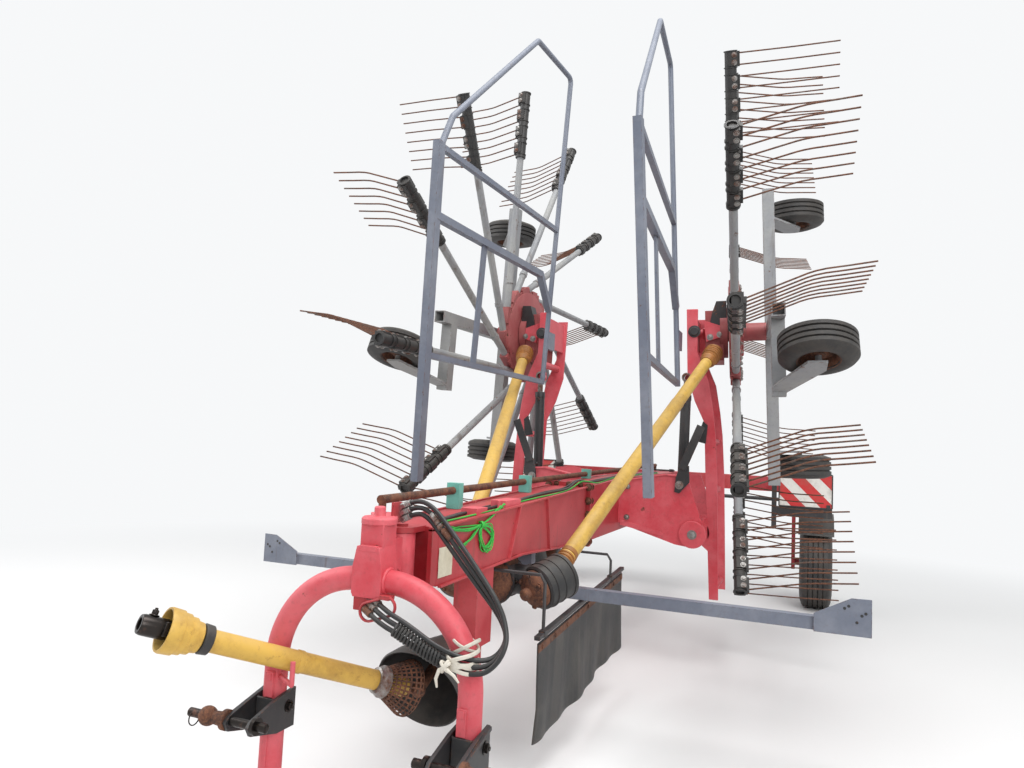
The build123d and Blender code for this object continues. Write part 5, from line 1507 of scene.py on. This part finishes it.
def make_link_ball(bm, side):
    angles = [math.radians(a) for a in range(-62, 63, 8)]
    ball = [(0.475 + 0.030 * math.sin(a), 0.030 * math.cos(a)) for a in angles]
    add_turned(bm, [(0.448, 0.0142), *ball, (0.502, 0.0142)], LINK_AT, X, 32)
    add_turned(bm, [(LEG_X + 0.050, 0.0142), (LEG_X + 0.050, 0.031), (LEG_X + 0.064, 0.031), (LEG_X + 0.070, 0.022),
                    (0.447, 0.020), (0.447, 0.0142)], LINK_AT, X, 28)


def make_leg_tab(bm, side):
    add_block(bm, at(LEG_X - 0.022, -0.0435, 0.488), at(LEG_X + 0.008, -0.030, 0.566))
    add_block(bm, at(LEG_X - 0.016, -0.0465, 0.540), at(LEG_X + 0.002, -0.040, 0.562))
    add_bar(bm, at(LEG_X - 0.006, -0.0365, 0.020), at(LEG_X - 0.006, -0.0365, 0.384), 0.012, 0.006)


both_sides("link_bracket", make_link_bracket, "headstock", BLACK_PAINT, bevel=0.001, stands_for=["link_brackets"])
both_sides("link_pin", make_link_pin, "headstock", GREASY_STEEL, slot="bright_steel")
both_sides("link_ball", make_link_ball, "headstock", RUSTY_STEEL)
both_sides("leg_tab", make_leg_tab, "headstock", PINK_PAINT_WITH_PAINTED_SUN, bevel=0.001)
print("leg brackets ready")

# %% [markdown]
# ## Beam, gearbox and folding gear
# The long beam is welded box steel with flat ribs, a bolted flange, a blank cream label and cables along
# its top. These are thin parts that sit on the solid's faces, so each follows the slopes of its edges.

# %% Beam trim
BEAM_SIDE_X = 0.105
# The beam's edges as (place along the machine, height), from the nose over the bend to the flange.
NOSE_TOP, FLANGE_TOP = (0.215, 1.036), (2.000, 1.104)
NOSE_LOW, BEND_LOW, FLANGE_LOW = (0.215, 0.842), (0.940, 0.861), (2.000, 0.804)


def height_between(start, end, y):
    return start[1] + (end[1] - start[1]) * (y - start[0]) / (end[0] - start[0])


def beam_top(y):
    return height_between(NOSE_TOP, FLANGE_TOP, y)


def beam_low(y):
    return height_between(BEND_LOW, FLANGE_LOW, y) if y > BEND_LOW[0] else height_between(NOSE_LOW, BEND_LOW, y)


def make_beam_ribs(bm, side):
    x = BEAM_SIDE_X
    for y_low, y_high in ((0.850, 0.955), (1.360, 1.300)):
        low, high = at(x, y_low, beam_low(y_low) - 0.004), at(x, y_high, beam_top(y_high) + 0.004)
        add_bar(bm, low, high, 0.026, 0.010)
    for edge, lift in ((beam_top, -0.002), (beam_low, -0.006)):
        line = [(y, edge(y) + lift) for y in (0.230, 1.000, 1.978)]
        side_plate(bm, line + [(y, z + 0.008) for y, z in reversed(line)], x - 0.002, x + 0.012)


def make_beam_boxes(bm):
    add_block(bm, at(0.020, 0.560, beam_top(0.56) - 0.002), at(0.086, 0.660, beam_top(0.66) + 0.022))
    add_block(bm, at(0.030, 0.820, beam_top(0.82) - 0.002), at(0.098, 0.990, beam_top(0.99) + 0.026))
    add_tube(bm, [at(0.075, 0.800, beam_top(0.8) + k) for k in (0.0, 0.034)], 0.006, 10)


def make_nose_cheeks(bm):
    for sense in (-1, 1):
        low, high = sorted((sense * 0.088, sense * 0.1045))
        add_block(bm, at(low, 0.172, 0.846), at(high, 0.217, 1.034))
        add_block(bm, at(low, 0.172, 1.026), at(high, 0.300, 1.040))


def make_flange_bolts(bm):
    for y, way in ((1.980, -1), (2.020, 1)):
        for sense in (-1, 1):
            for k in range(5):
                add_bolt(bm, at(sense * 0.116, y, 0.806 + 0.0745 * k), Y * way, 0.026, 0.014)
        for x in (-0.070, 0.0, 0.070):
            for z in (1.115, 0.793):
                add_bolt(bm, at(x, y, z), Y * way, 0.018, 0.012)


def label_point(c, r):
    lift = 0.0012 + 0.0010 * math.sin(c * 1.7 + r) ** 2
    return at(BEAM_SIDE_X + lift, 0.222 + 0.104 * c / 7, 0.868 + 0.100 * r / 6)


def make_label(bm):
    add_grid(bm, label_point, 7, 6)


def make_end_plate(bm, side):
    outline = [(1.271, 0.630), (1.484, 0.630), (1.484, 0.778), (1.410, 0.776), (1.271, 0.702)]
    upright_plate(bm, outline, 1.284, 1.291)


# Flat black discs on the grey end plate: painted shade for the dark insides of its holes.
def make_painted_hole_shade(bm, side):
    for x, z in ((1.385, 0.735), (1.400, 0.745), (1.448, 0.712), (1.462, 0.722), (1.430, 0.684)):
        add_turned(bm, [(0.0, 0.006), (0.0015, 0.006)], at(x, 1.2845, z), -Y, 14)


both_sides("beam_ribs", make_beam_ribs, "frame", RED_PAINT, bevel=0.001)
both_sides("end_plate", make_end_plate, "frame", GREY_PAINT, bevel=0.0008)
both_sides("painted_hole_shade", make_painted_hole_shade, "frame", BLACK_PAINT)
one_piece("nose_cheeks", make_nose_cheeks, "frame", RED_PAINT, bevel=0.001)
one_piece("beam_boxes", make_beam_boxes, "frame", PINK_PAINT_WITH_PAINTED_SUN, slot="red_paint", bevel=0.001)
one_piece("flange_bolts", make_flange_bolts, "frame", RUSTY_STEEL)
one_piece("beam_label", make_label, "frame", CREAM_LABEL, slot="sign_sheet")
print("beam trim ready")

# %% [markdown]
# Two thin cables, one black and one green, are clipped along the top of the beam, and a tied bunch of
# green twine hangs over its side. Each is a strand through a few points, in order from front to rear.

# %% Cables and twine
TWINE_R = 0.0026
# Place along the machine, height, and how far a strand may stray there.
KNOT = (0.545, 1.020, 0.004)


def smooth_path(points, steps=8):
    """A curve through given points, by cubic steps from each to the next."""
    ends = [points[0] * 2 - points[1]] + points + [points[-1] * 2 - points[-2]]
    path = []
    for k in range(1, len(ends) - 2):
        p0, p1, p2, p3 = ends[k - 1], ends[k], ends[k + 1], ends[k + 2]
        for j in range(steps):
            t = j / steps
            path.append(0.5 * (2 * p1 + (p2 - p0) * t + (2 * p0 - 5 * p1 + 4 * p2 - p3) * t * t
                               + (3 * p1 - p0 - 3 * p2 + p3) * t * t * t))
    path.append(points[-1])
    return path


def make_top_cable(bm, offset, radius):
    points = []
    for k in range(17):
        y = 0.300 + 0.245 * k
        rise = beam_top(y) if y < 2.0 else 1.104 + 0.029 * min(1.0, (y - 2.0) / 0.85)
        lump = 0.028 if 0.80 < y < 1.0 or 0.55 < y < 0.67 else 0.0
        lump += 0.024 if 1.93 < y < 2.07 else 0.0
        points.append(at(offset + 0.010 * math.sin(k * 1.9 + offset * 60), y, rise + radius + lump + 0.001))
    add_tube(bm, smooth_path(points), radius, 8)


def make_twine(bm):
    """A tied scrap of twine: strands along the edge to a knot, loops below it and loose ends."""
    random.seed(7)

    def near(y, z, spread=0.010, out=0.006):
        """A place on the beam's side, a little astray each time."""
        return at(BEAM_SIDE_X + out + random.uniform(-0.003, 0.007), y + random.uniform(-spread, spread),
                  z + random.uniform(-spread, spread))

    edge = [(0.270, 1.030, 0.008), (0.350, 1.018), (0.450, 1.014), KNOT]
    bight = [KNOT, (0.480, 0.985), (0.400, 0.955), (0.350, 0.960, 0.016)]
    loop = [KNOT, (0.620, 1.000, 0.014), (0.660, 0.965, 0.012), (0.620, 0.925, 0.014), (0.560, 0.945, 0.014),
            (0.540, 0.990, 0.010), (0.548, 1.018, 0.004)]
    loose_ends = [[KNOT, (0.620, 1.036, 0.006), (0.690, 1.060, 0.006, 0.002), (0.760 + 0.03 * k, 1.075, 0.010, -0.010)]
                  for k in range(3)]
    for strand in [edge] * 6 + [bight] * 4 + [loop] * 7 + loose_ends:
        add_tube(bm, smooth_path([near(*spot) for spot in strand]), TWINE_R, 6)
    for k in range(3):
        ring = [at(BEAM_SIDE_X + 0.006 + 0.010 * v, 0.540 + 0.005 * k, 1.020 + 0.011 * u) for u, v in around(12)]
        add_closed_strand(bm, ring, 0.0028, 0.0028, 6)


def make_top_cables(bm):
    make_top_cable(bm, 0.050, 0.006)
    make_top_cable(bm, 0.030, 0.005)


def make_green_cable(bm):
    make_top_cable(bm, 0.078, 0.0035)


one_piece("top_cables", make_top_cables, "frame", BLACK_PLASTIC)
one_piece("green_cable", make_green_cable, "frame", GREEN_TWINE, slot="turquoise_plastic")
one_piece("twine_bunch", make_twine, "frame", GREEN_TWINE, slot="turquoise_plastic")
print("cables and twine ready")

# %% [markdown]
# The central gearbox hangs under the beam: a rusty dome with a worn stub at its front, a black shell round
# its body, and a black neck to each output drum. Turned parts again, round the same axes as the solid.

# %% Gearbox shell
GEARBOX_AXIS = at(0, 0, 0.740)


def make_gearbox_shell(bm):
    add_turned(bm, [(0.944, 0.070), (0.944, 0.098), (0.952, 0.101), (0.960, 0.098), (0.962, 0.090), (1.090, 0.086),
                    (1.094, 0.092), (1.108, 0.092), (1.112, 0.070)], GEARBOX_AXIS, Y, 44)
    for sense in (-1, 1):
        add_turned(bm, [(0.050, 0.064), (0.118, 0.062), (0.120, 0.070), (0.138, 0.070), (0.142, 0.056)],
                   at(0, 1.060, 0.740), X * sense, 32)


def make_gearbox_dome(bm):
    angles = [math.radians(a) for a in range(0, 76, 8)]
    dome = [(0.944 - 0.070 * math.sin(a), 0.090 * math.cos(a)) for a in angles]
    add_turned(bm, [*dome, (0.872, 0.030)], GEARBOX_AXIS, Y)
    for x, z in around(8, 0.082):
        add_bolt(bm, GEARBOX_AXIS + Vector((x, 0.944, z)), -Y, 0.016, 0.010)


def make_gearbox_stub(bm):
    stub = [(0.880, 0.032), (0.868, 0.030), (0.866, 0.024), (0.850, 0.024), (0.846, 0.018)]
    add_turned(bm, stub, GEARBOX_AXIS, Y, 28)
    for sense in (-1, 1):
        for y in (0.975, 1.075):
            add_bolt(bm, at(sense * 0.0885, y, 0.742), X * sense, 0.018, 0.012)


one_piece("gearbox_shell", make_gearbox_shell, "frame", BLACK_PAINT)
one_piece("gearbox_dome", make_gearbox_dome, "frame", RUSTY_STEEL)
one_piece("gearbox_stub", make_gearbox_stub, "frame", GREASY_STEEL, slot="bright_steel")
print("gearbox ready")

# %% [markdown]
# Each boom turns on a long pin between two bracket plates, with a big round boss at its front. A black
# latch plate with a flat slanting bar stands on the bracket in front of the fold cylinder.

# %% Fold pins, latches and cylinders
FOLD_X = 0.575
FOLD_Z = 0.815
BRACKET_Y = 2.740
FOOT_X, FOOT_Z = 0.490, 1.115
CYLINDER_FOOT = at(FOOT_X, 2.835, FOOT_Z)
CYLINDER_EYE = at(0.500, 2.835, 1.800)
CYLINDER = CYLINDER_EYE - CYLINDER_FOOT
STROKE_END = CYLINDER.length


def make_fold_boss(bm, side):
    add_turned(bm, [(0.0, 0.080), (0.006, 0.084), (0.014, 0.084), (0.018, 0.080), (0.018, 0.034)],
               at(FOLD_X, BRACKET_Y, FOLD_Z), -Y, 44)
    outline = [(0.120, 0.872), (0.240, 0.846), (0.380, 0.815), (0.400, 0.800), (0.380, 0.792), (0.120, 0.838)]
    upright_plate(bm, outline, BRACKET_Y - 0.008, BRACKET_Y)
    upright_plate(bm, [(0.127, 1.126), (0.400, 1.181), (0.535, 1.171), (0.535, 1.161), (0.400, 1.171), (0.127, 1.116)],
                  BRACKET_Y - 0.016, BRACKET_Y + 0.038)


def make_fold_bolts(bm, side):
    add_bolt(bm, at(FOLD_X, BRACKET_Y - 0.018, FOLD_Z), -Y, 0.036, 0.016)
    add_bolt(bm, at(FOOT_X, BRACKET_Y - 0.022, FOOT_Z), -Y, 0.032, 0.014)
    for x, z in ((0.160, 1.085), (0.160, 0.890), (0.300, 1.110)):
        add_bolt(bm, at(x, BRACKET_Y - 0.001, z), -Y, 0.022, 0.012)


def make_latch(bm, side):
    x, z = FOOT_X, FOOT_Z
    plate = [(x - 0.030, z - 0.045), (x, z - 0.052), (x + 0.062, z + 0.020), (x + 0.056, z + 0.122),
             (x + 0.004, z + 0.126), (x - 0.022, z + 0.050)]
    upright_plate(bm, plate, BRACKET_Y - 0.022, BRACKET_Y - 0.008)
    add_bar(bm, at(x + 0.014, BRACKET_Y - 0.028, z + 0.098), at(x + 0.125, BRACKET_Y - 0.028, z + 0.372), 0.050, 0.010)


def make_cylinder_barrel(bm, side):
    end = STROKE_END - 0.110
    add_turned(bm, eye_profile(-0.022, 0.022, 0.0165, 0.034), CYLINDER_FOOT, Y, 32, True)
    add_turned(bm, [(0.022, 0.0185), (0.022, 0.024), (0.034, 0.030), (0.044, 0.032), (end - 0.040, 0.032),
                    (end - 0.038, 0.0345), (end - 0.006, 0.0345), (end - 0.002, 0.032), (end, 0.0185)],
               CYLINDER_FOOT, CYLINDER, 36, True)
    for along in (0.075, end - 0.060):
        port = CYLINDER_FOOT + CYLINDER.normalized() * along
        add_turned(bm, [(0.020, 0.012), (0.042, 0.012), (0.044, 0.009), (0.060, 0.009)], port, (0, -1, 0.15), 14)


def make_cylinder_rod(bm, side):
    stem = [(0.120, 0.016), (0.122, 0.018), (STROKE_END - 0.028, 0.018), (STROKE_END - 0.020, 0.022)]
    add_turned(bm, stem, CYLINDER_FOOT, CYLINDER, 28)
    add_turned(bm, eye_profile(-0.020, 0.020, 0.019, 0.030), CYLINDER_EYE, Y, 32, True)


both_sides("fold_boss", make_fold_boss, "frame", PINK_PAINT_WITH_PAINTED_SUN, slot="red_paint", bevel=0.001)
both_sides("fold_bolts", make_fold_bolts, "frame", BRIGHT_STEEL)
both_sides("latch", make_latch, "frame", BLACK_PAINT, bevel=0.001)
both_sides("cylinder_tube", make_cylinder_barrel, "cylinder_barrel_", BLACK_PAINT, stands_for=["cylinder_barrel_"])
both_sides("cylinder_stem", make_cylinder_rod, "cylinder_rod_", BRIGHT_STEEL, stands_for=["cylinder_rod_"])
print("folding gear ready")

# %% [markdown]
# A boom is two slender plates, front and rear, with a jog where the upper and lower halves meet. A tube
# round the fold pin, four cross tubes and a plate near the top join them, and a short stem with an eye
# carries the rotor on its own pin. The same outline serves both plates, so they always agree.

# %% Booms
BOOM_Y = ((2.900, 2.916), (3.314, 3.330))
BOOM_OUTLINE = [(0.548, 2.258), (0.552, 1.970), (0.628, 1.790), (0.661, 1.600), (0.680, 1.445), (0.698, 1.166),
                (0.710, 0.807), (0.722, 0.404), (0.666, 0.404), (0.646, 0.800), (0.625, 1.160), (0.610, 1.513),
                (0.544, 1.654), (0.493, 1.826), (0.476, 2.258)]


def make_boom(bm, side):
    for y_low, y_high in BOOM_Y:
        upright_plate(bm, BOOM_OUTLINE, y_low, y_high)
        add_turned(bm, collar(0.0, 0.016, 0.032, 0.084), at(FOLD_X, y_low, FOLD_Z), Y, 40, True)
        web = [(0.600, 0.880), (0.600, 0.745), (0.655, 0.700), (0.655, 0.930)]
        upright_plate(bm, web, y_low + 0.001, y_high - 0.001)
    add_turned(bm, eye_profile(2.768, 3.356, 0.032, 0.062), at(FOLD_X, 0, FOLD_Z), Y, 36, True)
    for x, z, radius in ((0.660, 1.080, 0.024), (0.648, 1.400, 0.020), (0.545, 1.900, 0.024), (0.690, 0.470, 0.020)):
        add_turned(bm, [(2.914, radius), (3.316, radius)], at(x, 0, z), Y, 20)
    upright_plate(bm, [(0.500, 2.020), (0.512, 2.020), (0.512, 2.230), (0.500, 2.230)], 2.915, 3.315)
    add_turned(bm, eye_profile(-0.038, 0.038, 0.0205, 0.044), HANG_PIVOT, joint_axis("rotor_level_right"), 32, True)
    foot = at(0.506, 3.130, 2.132)
    stem = HANG_PIVOT - foot
    add_turned(bm, [(0.0, 0.050), (0.012, 0.050), (0.013, 0.028), (stem.length - 0.040, 0.028)], foot, stem, 28)
    add_turned(bm, [(0.0, 0.018), (0.062, 0.018)], at(0.500, 2.856, 1.800), Y, 20)
    upright_plate(bm, [(0.482, 1.775), (0.520, 1.760), (0.520, 1.840), (0.482, 1.830)], 2.898, 2.902)


def make_boom_plates(bm, side):
    upright_plate(bm, [(0.560, 1.395), (0.622, 1.380), (0.632, 1.500), (0.602, 1.525)], 2.893, 2.901)
    button = [(0.0, 0.040), (0.004, 0.040), (0.005, 0.030), (0.014, 0.026)]
    add_turned(bm, button, at(0.530, 2.899, 2.110), -Y, 24)


both_sides("boom_frame", make_boom, "boom_", PINK_PAINT_WITH_PAINTED_SUN, bevel=0.0012, stands_for=["boom_"])
both_sides("boom_trim", make_boom_plates, "boom_", BLACK_PAINT, bevel=0.0008)
print("booms ready")

# %% [markdown]
# The front of each rotor's bevel head shows a bright red plate with two bolts, under a dark cover.

# %% Head plates
def make_head_plate(bm, side):
    outline = [(0.566, 2.196), (0.700, 2.146), (0.694, 2.085), (0.580, 2.052)]
    add_rings(bm, [[HANG @ at(x, y, z) for x, z in outline] for y in (2.972, 2.992)])


def make_head_cover(bm, side):
    outline = [(0.604, 2.170), (0.622, 2.250), (0.648, 2.322), (0.712, 2.322), (0.714, 2.130)]
    add_rings(bm, [[HANG @ at(x, y, z) for x, z in outline] for y in (2.978, 3.060)])


def make_head_bolts(bm, side):
    for x, z in ((0.606, 2.082), (0.668, 2.098)):
        add_bolt(bm, HANG @ at(x, 2.972, z), -Y, 0.026, 0.014)


both_sides("head_plate", make_head_plate, "rotor_frame_", PINK_PAINT_WITH_PAINTED_SUN, bevel=0.001)
both_sides("head_cover", make_head_cover, "rotor_frame_", BLACK_PAINT, bevel=0.001)
both_sides("head_bolts", make_head_bolts, "rotor_frame_", BRIGHT_STEEL)
print("head plates ready")

# %% [markdown]
# Behind each road wheel stands a sign board, repainted here with the striped sheet. It gets a thin black
# frame, with a black panel under it and a post beside it.

# %% Sign boards and rear panels
SIGN_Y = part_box("sign_boards")[0].y
SIGN_X = 1.210
SIGN_HALF_W = 0.2115
SIGN_Z_LOW, SIGN_Z_HIGH = 0.899, 1.181
finish_node("sign_boards", striped_sheet("sign_sheet", SIGN_Y))


def make_board_frame(bm, side):
    low_x, high_x = SIGN_X - SIGN_HALF_W, SIGN_X + SIGN_HALF_W
    y = SIGN_Y - HITCH_Y
    corners = [(low_x, SIGN_Z_LOW), (high_x, SIGN_Z_LOW), (high_x, SIGN_Z_HIGH), (low_x, SIGN_Z_HIGH)]
    for k in range(4):
        (x0, z0), (x1, z1) = corners[k], corners[(k + 1) % 4]
        add_bar(bm, at(x0, y - 0.001, z0), at(x1, y - 0.001, z1), 0.008, 0.010, Y)
    low_z, high_z = SIGN_Z_LOW - 0.085, SIGN_Z_LOW - 0.004
    panel = [(low_x - 0.02, low_z), (high_x, low_z), (high_x, high_z), (low_x - 0.02, high_z)]
    upright_plate(bm, panel, y + 0.001, y + 0.006)
    add_block(bm, at(low_x - 0.060, y + 0.004, 0.700), at(low_x - 0.020, y + 0.034, 1.130))
    clip_low = at(high_x - 0.045, y - 0.010, SIGN_Z_LOW - 0.010)
    add_block(bm, clip_low, clip_low + Vector((0.030, 0.009, 0.040)))


both_sides("board_frame", make_board_frame, "frame", BLACK_PAINT, bevel=0.001)
print("boards at y", round(SIGN_Y, 3))
